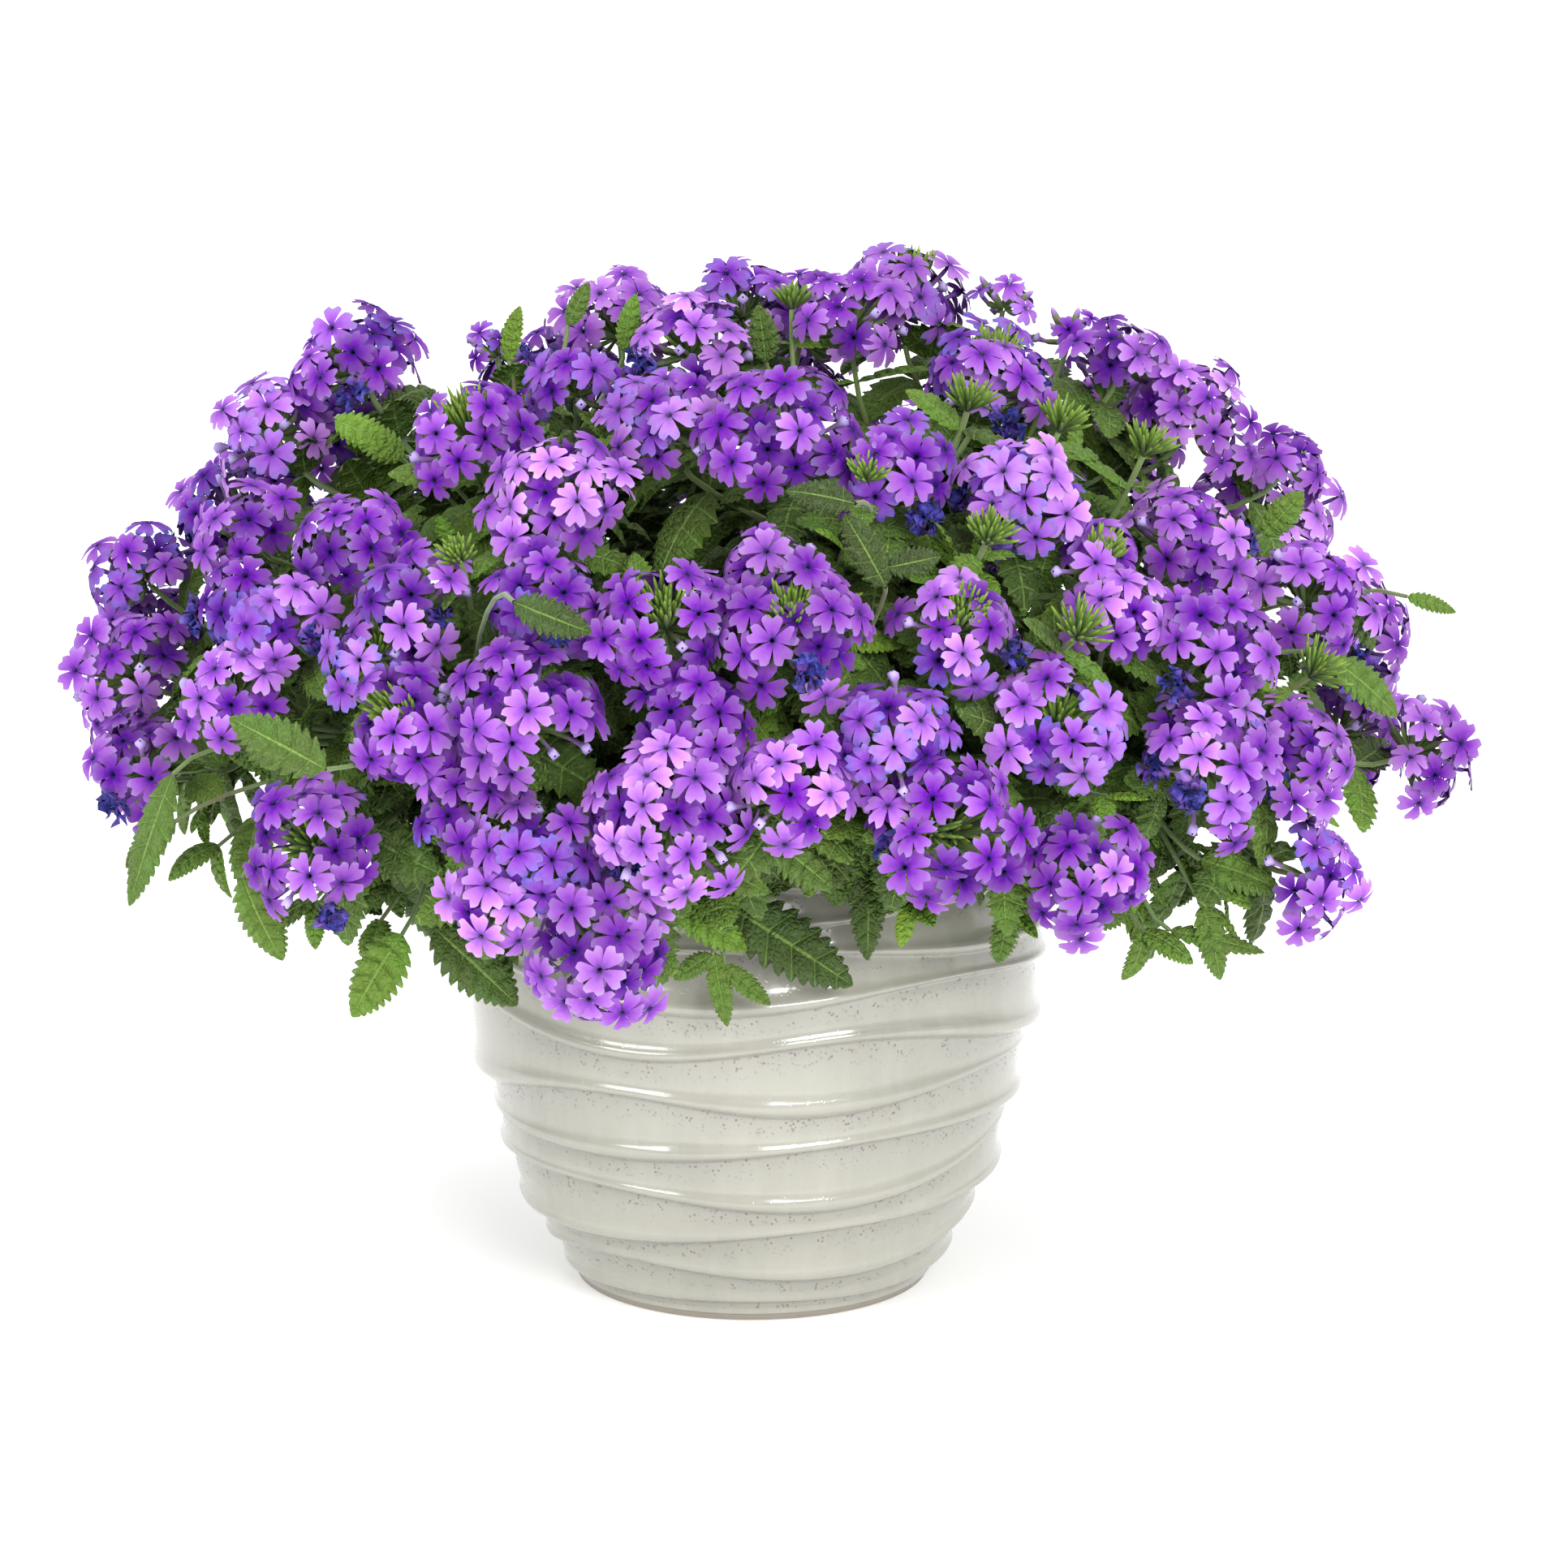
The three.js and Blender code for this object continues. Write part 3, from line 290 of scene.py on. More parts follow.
# A floret's shape, in shares of its radius.
PETALS = 5
THROAT = 0.09
THROAT_FOOT = [0.05, 0.036, -0.42]  # its lower end: radius, half a petal's width there, and height
PETAL_ROWS = np.array([0, 0.28, 0.58, 0.84, 1])
PETAL_WIDTHS = np.array([0.07, 0.2, 0.315, 0.39, 0.355])
PETAL_COLUMNS = np.array([-1, -0.55, 0, 0.55, 1])
PETAL_ENDS = np.array([0.88, 1, 0.83, 1, 0.88])
PETAL_HUMP = 0.05
PETAL_RIPPLES = 4.5
# The ranges that the shapes of petals are drawn from.
DROOPS = (-0.05, 0.32)  # of all the petals of a floret
BENDS = (-0.1, 0.1)
LENGTHS = (0.93, 1.05)
WIDTHS = (0.9, 1.12)
WAVES = (0.01, 0.06)
TWISTS = (-0.16, 0.16)
ASIDES = (-6, 6)  # degrees


# ---- numbers and vectors ----

def seeded(seed):
    """The part's own random numbers, so that the back's heads fall where its solids are."""
    state = seed
    full = 0xFFFFFFFF
    while True:
        state = (state + 0x6D2B79F5) & full
        t = ((state ^ (state >> 15)) * (state | 1)) & full
        t = (t + (((t ^ (t >> 7)) * (t | 61)) & full)) & full ^ t
        yield ((t ^ (t >> 14)) & full) / (full + 1)


def draws(kind, index=0):
    return np.random.default_rng(SEEDS[kind] + index)


def unit(v):
    return v / np.linalg.norm(v)


def vec(*values):
    return np.array(values, float)


def bearing_of(degrees):
    return vec(math.sin(degrees * DEG), -math.cos(degrees * DEG), 0)


def around(sides):
    return np.arange(sides) / sides * 2 * math.pi


def aside(w, turn):
    """A unit vector square to w, at a turn round it."""
    u = unit(np.cross(vec(0, 0, 1) if abs(w[2]) < 0.9 else vec(1, 0, 0), w))
    return u * math.cos(turn) + np.cross(w, u) * math.sin(turn)


def tilted(w, tilt, turn):
    """A unit vector at an angle from w, at a turn round it."""
    return w * math.cos(tilt) + aside(w, turn) * math.sin(tilt)


def bezier(points, t):
    t = np.asarray(t)[..., None]
    a, b, c, d = points
    return (1 - t) ** 3 * a + 3 * t * (1 - t) ** 2 * b + 3 * t * t * (1 - t) * c + t**3 * d


def tangent(points, t):
    return unit(bezier(points, min(1, t + 0.01)) - bezier(points, max(0, t - 0.01)))


def grid_faces(rows, columns, closed=False):
    """Quads between the corners of a grid, whose columns may close on themselves."""
    i, j = np.meshgrid(np.arange(rows - 1), np.arange(columns if closed else columns - 1), indexing="ij")
    k = (j + 1) % columns
    quads = [i * columns + j, i * columns + k, (i + 1) * columns + k, (i + 1) * columns + j]
    return np.stack(quads, -1).reshape(-1, 4)


# ---- pieces ----

def put(name, data):
    thing = bpy.data.objects.new(name, data)
    bpy.context.scene.collection.objects.link(thing)
    return thing


NUMBERS = ("reach", "across", "tint", "age")


class Piece:
    """One object's corners, faces and four numbers a corner, gathered part by part."""

    def __init__(self, *materials):
        self.materials = materials
        self.corners, self.faces, self.slots, self.count = [], [], [], 0
        self.numbers = {name: [] for name in NUMBERS}

    def add(self, corners, faces, material=0, **numbers):
        corners = np.asarray(corners, float).reshape(-1, 3)
        for name in NUMBERS:
            value = np.asarray(numbers.get(name, 0.0), float).reshape(-1)
            self.numbers[name].append(np.broadcast_to(value, len(corners)))
        self.corners.append(corners)
        self.faces += (np.asarray(faces) + self.count).tolist()
        self.slots += [material] * len(faces)
        self.count += len(corners)

    def make(self, name, slot, nodes):
        mesh = bpy.data.meshes.new(name)
        mesh.from_pydata((np.concatenate(self.corners) * MM).tolist(), [], self.faces)
        for number, values in self.numbers.items():
            layer = mesh.attributes.new(number, "FLOAT", "POINT")
            layer.data.foreach_set("value", np.concatenate(values).astype(np.float32))
        mesh.polygons.foreach_set("use_smooth", [True] * len(mesh.polygons))
        mesh.polygons.foreach_set("material_index", self.slots)
        for material in self.materials:
            mesh.materials.append(material)
        mesh.update()
        piece = put(name, mesh)
        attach(piece, "root")
        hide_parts(*nodes)


# ---- materials ----

class Nodes:
    """A node tree built from short calls. Each call returns the socket that it makes."""

    def __init__(self, tree):
        self.tree = tree

    def node(self, kind, output, inputs, **settings):
        """An output of a new node, with values or other sockets in its inputs."""
        node = self.tree.nodes.new("ShaderNode" + kind)
        for key, value in settings.items():
            setattr(node, key, value)
        for key, value in inputs.items():
            self.plug(node.inputs[key], value)
        return node.outputs[output]

    def plug(self, socket, value):
        if isinstance(value, bpy.types.NodeSocket):
            self.tree.links.new(value, socket)
        elif socket.type == "RGBA":
            socket.default_value = (*value, 1)
        else:
            socket.default_value = value

    def number(self, name):
        return self.node("Attribute", "Fac", {}, attribute_name=name)

    def place(self):
        return self.node("TexCoord", "Object", {})

    def noise(self, scale, detail=3, roughness=0.55, place=None):
        inputs = {"Vector": place or self.place(), "Scale": scale, "Detail": detail, "Roughness": roughness}
        return self.node("TexNoise", "Fac", inputs)

    def cells(self, scale, feature="DISTANCE_TO_EDGE"):
        return self.node("TexVoronoi", "Distance", {"Vector": self.place(), "Scale": scale}, feature=feature)

    def math(self, operation, a, b=0.0):
        return self.node("Math", 0, {0: a, 1: b}, operation=operation)

    def times(self, a, b):
        return self.math("MULTIPLY", a, b)

    def plus(self, a, b):
        return self.math("ADD", a, b)

    def spread(self, value, low, high, to_low=0.0, to_high=1.0):
        """value from low to high, brought to to_low to to_high and held there."""
        inputs = {"Value": value, "From Min": low, "From Max": high, "To Min": to_low, "To Max": to_high}
        return self.node("MapRange", "Result", inputs, clamp=True)

    def mix(self, factor, a, b):
        """a where the factor is 0, b where it is 1."""
        return self.node("Mix", 2, {0: factor, 6: a, 7: b}, data_type="RGBA", clamp_factor=True)

    def ramp(self, value, stops):
        color = self.node("ValToRGB", "Color", {"Fac": value})
        elements = color.node.color_ramp.elements
        while len(elements) < len(stops):
            elements.new(0.5)
        for element, (position, shade) in zip(elements, stops):
            element.position = position
            element.color = (*shade, 1)
        return color

    def tinted(self, color, hue, saturation, value):
        inputs = {"Color": color, "Hue": hue, "Saturation": saturation, "Value": value}
        return self.node("HueSaturation", "Color", inputs)

    def bump(self, height, strength, distance):
        return self.node("Bump", "Normal", {"Height": height, "Strength": strength, "Distance": distance})


class Shader(Nodes):
    """The node tree of a new material."""

    def __init__(self, name, **constants):
        self.material = bpy.data.materials.new(name)
        self.material.use_nodes = True
        super().__init__(self.material.node_tree)
        self.finish(**constants)

    def finish(self, **inputs):
        """The material, with values or sockets in the inputs of its shader."""
        for socket, value in inputs.items():
            self.plug(self.tree.nodes["Principled BSDF"].inputs[socket.replace("_", " ")], value)
        return self.material


def petal_material():
    """Violet petals, dark at the throat, with a star of veins, and deep blue where a floret is withered."""
    s = Shader("petal", Roughness=0.6, Specular_IOR_Level=0.12, Sheen_Weight=0.04, Sheen_Roughness=0.4)
    reach, across, tint, age = (s.number(n) for n in NUMBERS)
    fresh = s.ramp(reach, [
        (0.0, (0.01, 0.004, 0.025)), (0.1, (0.025, 0.005, 0.09)), (0.17, (0.14, 0.014, 0.33)),
        (0.38, (0.28, 0.044, 0.5)), (0.78, (0.4, 0.128, 0.58)), (1.0, (0.415, 0.25, 0.59)),
    ])
    star = s.times(s.spread(across, 0.0, 0.55, 1, 0), s.spread(reach, 0.16, 0.62, 1, 0))
    veins = s.math("ABSOLUTE", s.math("SINE", s.times(across, 9.0)))
    veins = s.times(s.spread(veins, 0.0, 0.35, 1, 0), s.spread(reach, 0.2, 0.9, 0.5, 0.0))
    color = s.mix(s.times(star, 0.5), fresh, (0.11, 0.016, 0.3))
    color = s.mix(s.times(veins, 0.5), color, (0.17, 0.03, 0.36))
    color = s.mix(s.times(s.spread(s.noise(420, 2), 0.35, 0.75), 0.14), color, (0.46, 0.28, 0.65))
    hue = s.spread(tint, 0, 1, 0.472, 0.507)
    color = s.tinted(color, hue, 1.0, s.spread(s.noise(23, 1), 0.3, 0.7, 0.82, 1.15))
    # A low tint makes a floret darker and more saturated: its random tone, and painted shade on the inner
    # florets.
    color = s.tinted(color, 0.5, s.spread(tint, 0.2, 1, 1.1, 0.84), s.spread(tint, 0, 1, 0.49, 1.13))
    blue = s.ramp(s.plus(s.noise(300, 2), s.times(age, 0.3)), [
        (0.35, (0.18, 0.15, 0.6)), (0.62, (0.08, 0.075, 0.43)), (0.9, (0.008, 0.014, 0.11)),
    ])
    fringe = s.times(s.math("POWER", reach, 2.2), s.spread(age, 0.0, 0.45))
    wither = s.math("MAXIMUM", fringe, s.spread(age, 0.55, 0.8))
    wither = s.times(wither, s.spread(s.noise(160, 2), 0.3, 0.55, 0.35, 1))
    color = s.mix(wither, color, blue)
    height = s.plus(s.times(veins, -0.4), s.noise(900, 2))
    return s.finish(Base_Color=color, Normal=s.bump(height, 0.25, 0.0004))


def calyx_material():
    """Stalks with their calyces, green to violet up the corolla tube, green buds and lilac buds."""
    s = Shader("calyx", Roughness=0.6, Specular_IOR_Level=0.25, Sheen_Weight=0.1, Sheen_Roughness=0.5)
    reach, across, tint, age = (s.number(n) for n in NUMBERS)
    stalk = s.ramp(reach, [
        (0.0, (0.1, 0.17, 0.035)), (0.45, (0.12, 0.19, 0.05)), (0.6, (0.15, 0.14, 0.12)),
        (0.72, (0.22, 0.08, 0.34)), (1.0, (0.1, 0.02, 0.3)),
    ])
    young = s.ramp(reach, [
        (0.0, (0.04, 0.08, 0.008)), (0.5, (0.1, 0.19, 0.015)), (0.88, (0.2, 0.32, 0.03)),
        (1.0, (0.15, 0.13, 0.08)),
    ])
    bud = s.ramp(reach, [
        (0.0, (0.1, 0.16, 0.03)), (0.5, (0.13, 0.17, 0.06)), (0.62, (0.27, 0.12, 0.42)),
        (1.0, (0.42, 0.32, 0.7)),
    ])
    color = s.mix(s.spread(age, 0.2, 0.4), stalk, young)
    color = s.mix(s.spread(age, 0.7, 0.9), color, bud)
    color = s.mix(s.spread(s.noise(700, 3), 0.45, 0.75, 0, 0.25), color, (0.3, 0.38, 0.16))
    color = s.tinted(color, 0.5, 1.0, s.spread(tint, 0, 1, 0.7, 1.25))
    return s.finish(Base_Color=color, Normal=s.bump(s.noise(1500, 2), 0.35, 0.0004))


def leaf_material():
    """Wrinkled leaf: dark to light green by its tint, paler along its veins, with a fine net between them."""
    s = Shader("leaf", Roughness=0.46, Specular_IOR_Level=0.24, Sheen_Weight=0.02, Sheen_Roughness=0.5)
    reach, across, tint, age = (s.number(n) for n in NUMBERS)
    blade = s.ramp(tint, [
        (0.0, (0.034, 0.058, 0.015)), (0.35, (0.08, 0.145, 0.024)), (0.7, (0.13, 0.25, 0.024)),
        (1.0, (0.19, 0.345, 0.024)),
    ])
    net = s.cells(430)
    patches = s.noise(60, 3)
    hue = s.spread(patches, 0.3, 0.7, 0.485, 0.512)
    color = s.tinted(blade, hue, 1.0, s.spread(patches, 0.25, 0.75, 0.75, 1.3))
    color = s.mix(s.spread(net, 0.0, 0.09, 0.35, 0), color, s.mix(0.5, blade, (0.22, 0.3, 0.09)))
    side_vein = s.times(s.spread(age, 0.72, 0.95), s.spread(reach, 0.0, 0.9, 1.0, 0.5))
    vein = s.math("MAXIMUM", side_vein, s.spread(across, 0.08, 0.03))
    color = s.mix(vein, color, s.mix(0.62, blade, (0.26, 0.42, 0.1)))
    color = s.mix(s.spread(s.noise(1600, 3), 0.56, 0.8, 0, 0.08), color, (0.34, 0.38, 0.2))
    height = s.plus(s.spread(net, 0.0, 0.3), s.times(vein, -1.2))
    height = s.plus(height, s.times(s.noise(1200, 2), 0.25))
    return s.finish(Base_Color=color, Normal=s.bump(height, 0.75, 0.0009))


def stem_material():
    """Hairy green stems, brownish red in places."""
    s = Shader("stem", Roughness=0.55, Sheen_Weight=0.35, Sheen_Roughness=0.5)
    tint = s.number("tint")
    green = s.ramp(tint, [(0.0, (0.045, 0.085, 0.02)), (0.6, (0.12, 0.2, 0.05)), (1.0, (0.2, 0.3, 0.07))])
    red = s.spread(s.noise(38, 2), 0.52, 0.72, 0, 0.6)
    color = s.mix(red, green, (0.12, 0.045, 0.035))
    color = s.mix(s.spread(s.noise(1300, 2), 0.55, 0.8, 0, 0.4), color, (0.34, 0.38, 0.26))
    return s.finish(Base_Color=color, Normal=s.bump(s.noise(1100, 3), 0.4, 0.0005))


def glaze_material():
    """Glossy off-white glaze with upright streaks, greyer in the creases and darker below them, where specks
    of the body show. The darkening below each crease is painted shade under the roll above it.
    """
    s = Shader("glaze", Specular_IOR_Level=0.7, Coat_Weight=0.25, Coat_Roughness=0.08, Coat_IOR=1.5)
    crease, foot = s.number("reach"), s.number("age")
    upright = s.node("Mapping", "Vector", {"Vector": s.place(), "Scale": (1, 1, 0.08)})
    color = s.mix(s.spread(s.noise(16, 3), 0.3, 0.7), (0.32, 0.315, 0.268), (0.38, 0.374, 0.32))
    color = s.mix(s.spread(s.noise(130, 3, place=upright), 0.45, 0.75, 0, 0.3), color, (0.43, 0.42, 0.37))
    # Greyer glaze at the creases, and painted shade spreading further down below each crease.
    color = s.mix(s.times(crease, 0.34), color, (0.225, 0.218, 0.2))
    speck = s.times(s.spread(s.cells(620, "F1"), 0.38, 0.22), s.spread(s.noise(240, 2), 0.46, 0.56))
    near = s.spread(crease, 0.12, 0.7, 0.03, 0.95)
    color = s.mix(s.times(speck, near), color, (0.15, 0.132, 0.118))
    pin = s.times(s.spread(s.cells(260, "F1"), 0.085, 0.05), s.spread(s.noise(60, 1), 0.56, 0.62))
    color = s.mix(s.times(pin, 0.6), color, (0.22, 0.21, 0.2))
    color = s.mix(s.times(foot, 0.6), color, (0.3, 0.235, 0.185))
    height = s.plus(s.noise(45, 2), s.times(speck, -0.12))
    roughness = s.spread(s.math("MAXIMUM", foot, s.times(speck, near)), 0.0, 1.0, 0.15, 0.6)
    return s.finish(Base_Color=color, Normal=s.bump(height, 0.22, 0.0012), Roughness=roughness)


def soil_material():
    """Dark peat with crumbs and a few pale grains."""
    s = Shader("potting_mix", Roughness=0.95, Specular_IOR_Level=0.2)
    color = s.mix(s.spread(s.noise(160, 6, 0.7), 0.35, 0.7), (0.01, 0.007, 0.005), (0.05, 0.034, 0.022))
    grain = s.times(s.spread(s.cells(260, "F1"), 0.2, 0.12), s.spread(s.noise(90, 1), 0.6, 0.65))
    color = s.mix(grain, color, (0.5, 0.48, 0.44))
    return s.finish(Base_Color=color, Normal=s.bump(s.noise(420, 6, 0.75), 0.9, 0.004))


PETAL = petal_material()
CALYX = calyx_material()
LEAF = leaf_material()
STEM = stem_material()
GLAZE = glaze_material()
SOIL = soil_material()


# ---- pot and soil ----

def crease_heights(bearings):
    """The heights of all creases at some bearings in radians, on smooth closed curves through CREASES."""
    ring = np.hstack([CREASES, CREASES[:, ::-1]])
    count = ring.shape[1]
    waves = np.fft.rfft(ring, axis=1) / count
    phase = np.outer(np.arange(waves.shape[1]), bearings + FRONT_BEARING)
    weight = np.full(waves.shape[1], 2.0)
    weight[[0, -1]] = 1
    return ((waves * weight) @ np.exp(1j * phase)).real


def lathe(rows, bearings):
    """Corners from rows of radius and height, each one value or one for each bearing."""
    rows = np.array([[np.broadcast_to(value, bearings.shape) for value in row] for row in rows])
    radius, height = rows[:, 0], rows[:, 1]
    return np.stack([radius * np.sin(bearings), -radius * np.cos(bearings), height], -1)


def glazed_pot():
    """The pot, whose corners say how near a crease (reach) and the bare foot (age) they are."""
    bearings = around(POT_SIDES)
    creases = crease_heights(bearings)
    stops = np.vstack([np.full(POT_SIDES, FOOT_HEIGHT), creases, np.full(POT_SIDES, POT_HEIGHT - LIP_HEIGHT)])
    lip = POT_OUTLINE[-1, 1]
    rows = [(1e-3, 0), (FOOT_RADIUS - 14, 0), (FOOT_RADIUS - 3, 0), (FOOT_RADIUS - 0.8, 0.5)]
    crease, foot = [0] * len(rows), [1] * len(rows)
    for lower, upper in zip(stops, stops[1:]):
        pitch = upper - lower
        roll, bulge = (np.clip(part[0] * pitch, *part[1:]) for part in (ROLL_HEIGHT, SWELL_HEIGHT))
        for v in BAND_ROWS:
            height = lower + v * pitch
            away = (v - ROLL_PLACE) / (ROLL_BELOW if v < ROLL_PLACE else ROLL_ABOVE)
            swell = roll * math.exp(-(away**2)) + bulge * math.sin(math.pi * v**0.5)
            rows.append((np.interp(height, *POT_OUTLINE.T) - BAND_BULGE + swell, height))
            # The darkening reaches further below a crease than above it: painted shade under the roll above.
            away = v * pitch / CREASE_UP if v < 0.5 else (1 - v) * pitch / CREASE_PAINTED_SHADE_BELOW
            crease.append(np.exp(-(away**2)) * (1 if lower[0] > FOOT_HEIGHT or v > 0.4 else 0))
            foot.append(0.6 * np.exp(-np.maximum(0, height - FOOT_HEIGHT) / FOOT_FADE))
    mouth = lip - POT_WALL
    rows += [
        (lip - BAND_BULGE + 1.2, POT_HEIGHT - 2.6), (lip - BAND_BULGE + 0.6, POT_HEIGHT - 1.1),
        (lip - 4.5, POT_HEIGHT - 0.2), (mouth + 2.4, POT_HEIGHT), (mouth + 0.8, POT_HEIGHT - 1.2),
        (mouth, POT_HEIGHT - 4), (mouth - 4, SOIL_SIDE_HEIGHT), (FOOT_RADIUS - 12, POT_FLOOR + 8),
        (1e-3, POT_FLOOR),
    ]
    inside = [0] * (len(rows) - len(crease))
    near = [[np.broadcast_to(share, POT_SIDES) for share in part + inside] for part in (crease, foot)]
    piece = Piece(GLAZE)
    faces = grid_faces(len(rows), POT_SIDES, closed=True)
    piece.add(lathe(rows, bearings), faces, reach=near[0], age=near[1])
    piece.make("glazed_pot", "glazed_pot", ["pot"])


def potting_mix():
    mouth = POT_OUTLINE[-1, 1] - POT_WALL
    random = draws("soil")
    rows = [(1e-3, POT_FLOOR + 0.4), (FOOT_RADIUS - 12.5, POT_FLOOR + 8.4), (mouth - 4.5, SOIL_SIDE_HEIGHT)]
    for share in np.linspace(1, 0, SOIL_RINGS):
        crumbs = random.uniform(-SOIL_CRUMB, SOIL_CRUMB, SOIL_SIDES) * (0.3 if share < 0.1 else 1)
        height = SOIL_LEVEL + SOIL_CROWN - SOIL_SLOPE * share**4 + crumbs
        rows.append((max(share, 1e-3) * (mouth - 1.7), height))
    piece = Piece(SOIL)
    piece.add(lathe(rows, around(SOIL_SIDES)), grid_faces(len(rows), SOIL_SIDES, closed=True))
    piece.make("potting_mix", "potting_soil", ["potting_soil"])


# ---- heads ----

FLORETS, STALKS = 0, 1  # places of a head's materials

def mound_half(z):
    return MOUND_RISE if z > MOUND_LEVEL else MOUND_DROP


def facing_at(p):
    """The direction that the dome's surface faces at a point, turned up a little."""
    out = unit(vec(*(p[:2] / MOUND_HALF**2), (p[2] - MOUND_LEVEL) / mound_half(p[2]) ** 2))
    return unit(out + vec(0, 0, UPTURN))


def dome_depth(x, z):
    left = 1 - (x / MOUND_HALF[0]) ** 2 - ((z - MOUND_LEVEL) / mound_half(z)) ** 2
    return MOUND_HALF[1] * math.sqrt(max(0, left))


class Head:
    def __init__(self, x, y, z, radius, sunk=0.0):
        seen = vec(x, y, z)
        self.facing = facing_at(seen)
        self.radius = radius
        self.hub = seen - self.facing * (HUB_DEPTH * radius + sunk)
        self.end = seen - LONE_TUFT_DEPTH * radius * self.facing  # of the stem, in a tuft of buds alone


def tier_heads(tier, height, count, first, last, radius):
    random = seeded(SEEDS["tier"] + tier)
    out = []
    for i in range(count):
        turned, lifted, grown = (jitter * (next(random) - 0.5) for jitter in TIER_JITTER)
        bearing = (first + (last - first) * i / (count - 1) + turned) * DEG
        z = height + lifted
        share = math.sqrt(max(0, 1 - ((z - MOUND_LEVEL) / mound_half(z)) ** 2))
        reach = share / math.hypot(math.sin(bearing) / MOUND_HALF[0], math.cos(bearing) / MOUND_HALF[1])
        out.append(Head(reach * math.sin(bearing), -reach * math.cos(bearing), z, radius + grown))
    return out


heads = [Head(x, -dome_depth(x, z), z, radius, sunk) for x, z, radius, sunk in FRONT_HEADS]
heads += [Head(*row) for row in CROWN_HEADS]
tufts = [Head(x, -dome_depth(x, z), z, size) for x, z, size in GREEN_TUFTS]
for number, tier in enumerate(BACK_TIERS):
    heads += tier_heads(number, *tier)


def floret_shape(random):
    """An open floret facing +Z, in shares of its radius: corners, faces, reaches and acrosses."""
    corners, reach, across = [], [], []
    columns = len(PETAL_COLUMNS)
    droop = random.uniform(*DROOPS)
    for k in range(PETALS):
        length, width = random.uniform(*LENGTHS), random.uniform(*WIDTHS)
        wave, phase = random.uniform(*WAVES), random.uniform(0, FULL_TURN)
        twist, bend = random.uniform(*TWISTS), droop + random.uniform(*BENDS)
        t, u = PETAL_ROWS[:, None], PETAL_COLUMNS[None, :]
        x = THROAT + (PETAL_ENDS[None, :] * length - THROAT) * t
        y = u * np.interp(t, PETAL_ROWS, PETAL_WIDTHS) * (1 + (width - 1) * t)
        z = -bend * x**2 + PETAL_HUMP * np.sin(math.pi * x) + twist * y * t
        z = z + wave * np.sin(PETAL_RIPPLES * u + phase) * t
        z += (0.03 - 0.1 * t) * np.abs(u) * t  # the edges rise near the throat and fall at the end
        radius, half, low = THROAT_FOOT
        down = np.stack([np.full(columns, radius), half * PETAL_COLUMNS, np.full(columns, low)], -1)
        petal = np.vstack([down, np.stack([x, y, z], -1).reshape(-1, 3)])
        turn = (360 / PETALS * k + random.uniform(*ASIDES)) * DEG
        c, d = math.cos(turn), math.sin(turn)
        corners.append(petal @ np.array([[c, d, 0], [-d, c, 0], [0, 0, 1]]))
        reach.append(np.concatenate([np.zeros(columns), np.hypot(x, y).ravel()]))
        across.append(np.tile(np.abs(PETAL_COLUMNS), len(PETAL_ROWS) + 1))
    petal_faces = grid_faces(len(PETAL_ROWS) + 1, columns)
    faces = np.vstack([petal_faces + len(corners[0]) * k for k in range(PETALS)])
    return np.vstack(corners), faces, np.concatenate(reach), np.concatenate(across)


def tube(piece, points, radii, sides, material, reach=None, **numbers):
    """A round tube through some points, with a radius at each of them and open ends."""
    points = np.asarray(points, float)
    along = np.gradient(points, axis=0)
    u, angles = aside(unit(along[0]), 0), around(sides)
    rings = []
    for point, way, radius in zip(points, along, radii):
        way = unit(way)
        u = unit(u - way * (u @ way))
        v = np.cross(way, u)
        rings.append(point + radius * (np.outer(np.cos(angles), u) + np.outer(np.sin(angles), v)))
    reach = np.linspace(0, 1, len(points)) if reach is None else np.asarray(reach)
    faces = grid_faces(len(points), sides, closed=True)
    piece.add(np.array(rings), faces, material, reach=np.repeat(reach, sides), **numbers)


SHAPES = [floret_shape(draws("floret", i)) for i in range(FLORET_SHAPES)]


def add_floret(piece, random, hub, place, way, size, tint, age):
    """A floret at a place, facing a way, on its stalk from the head's hub."""
    corners, faces, reach, across = SHAPES[random.integers(FLORET_SHAPES)]
    u = aside(way, random.uniform(0, 2 * math.pi))
    basis = np.array([u, np.cross(way, u), way])
    if age > WITHERED:
        crumple = random.uniform(-0.3, 0.3, corners.shape)
        corners = corners * [0.72, 0.72, 1] + 0.8 * crumple * (reach > 0.3)[:, None]
        corners[:, 2] += 0.35 * reach**2
    piece.add(place + size * corners @ basis, faces, FLORETS, reach=reach, across=across, tint=tint, age=age)
    add_stalk(piece, random, hub, place - 0.3 * size * way, way)


STALK_SIDES = 4
# Along a floret's stalk or a closed bud's: [place, radius, reach].
STALK = np.array([[0, 0.7, 0], [0.4, 1.2, 0.4], [0.6, 1.25, 0.55], [0.66, 0.85, 0.62], [1, 0.95, 1]])
BUD = np.array([
    [0, 0.7, 0], [0.35, 1.15, 0.3], [0.6, 1.1, 0.5], [0.7, 0.8, 0.6], [0.85, 1.1, 0.7], [0.91, 2.1, 0.85],
    [0.97, 2.2, 0.95], [1, 0.5, 1],
])


def add_stalk(piece, random, hub, end, way, shape=STALK, age=0.0):
    """A stalk from near the hub to an end, where it points a way."""
    span = np.linalg.norm(end - hub)
    start = hub + 0.1 * (end - hub)
    bend = end - 0.45 * span * way
    points = bezier([start, start + 0.3 * (bend - start), bend, end], shape[:, 0])
    tint = random.uniform(0.2, 0.9)
    tube(piece, points, shape[:, 1], STALK_SIDES, STALKS, reach=shape[:, 2], tint=tint, age=age)


# Along a spike: [place, radius].
SPIKE = np.array([[0, 0.7], [0.4, 1], [0.7, 0.95], [0.9, 0.6], [1, 0.1]])


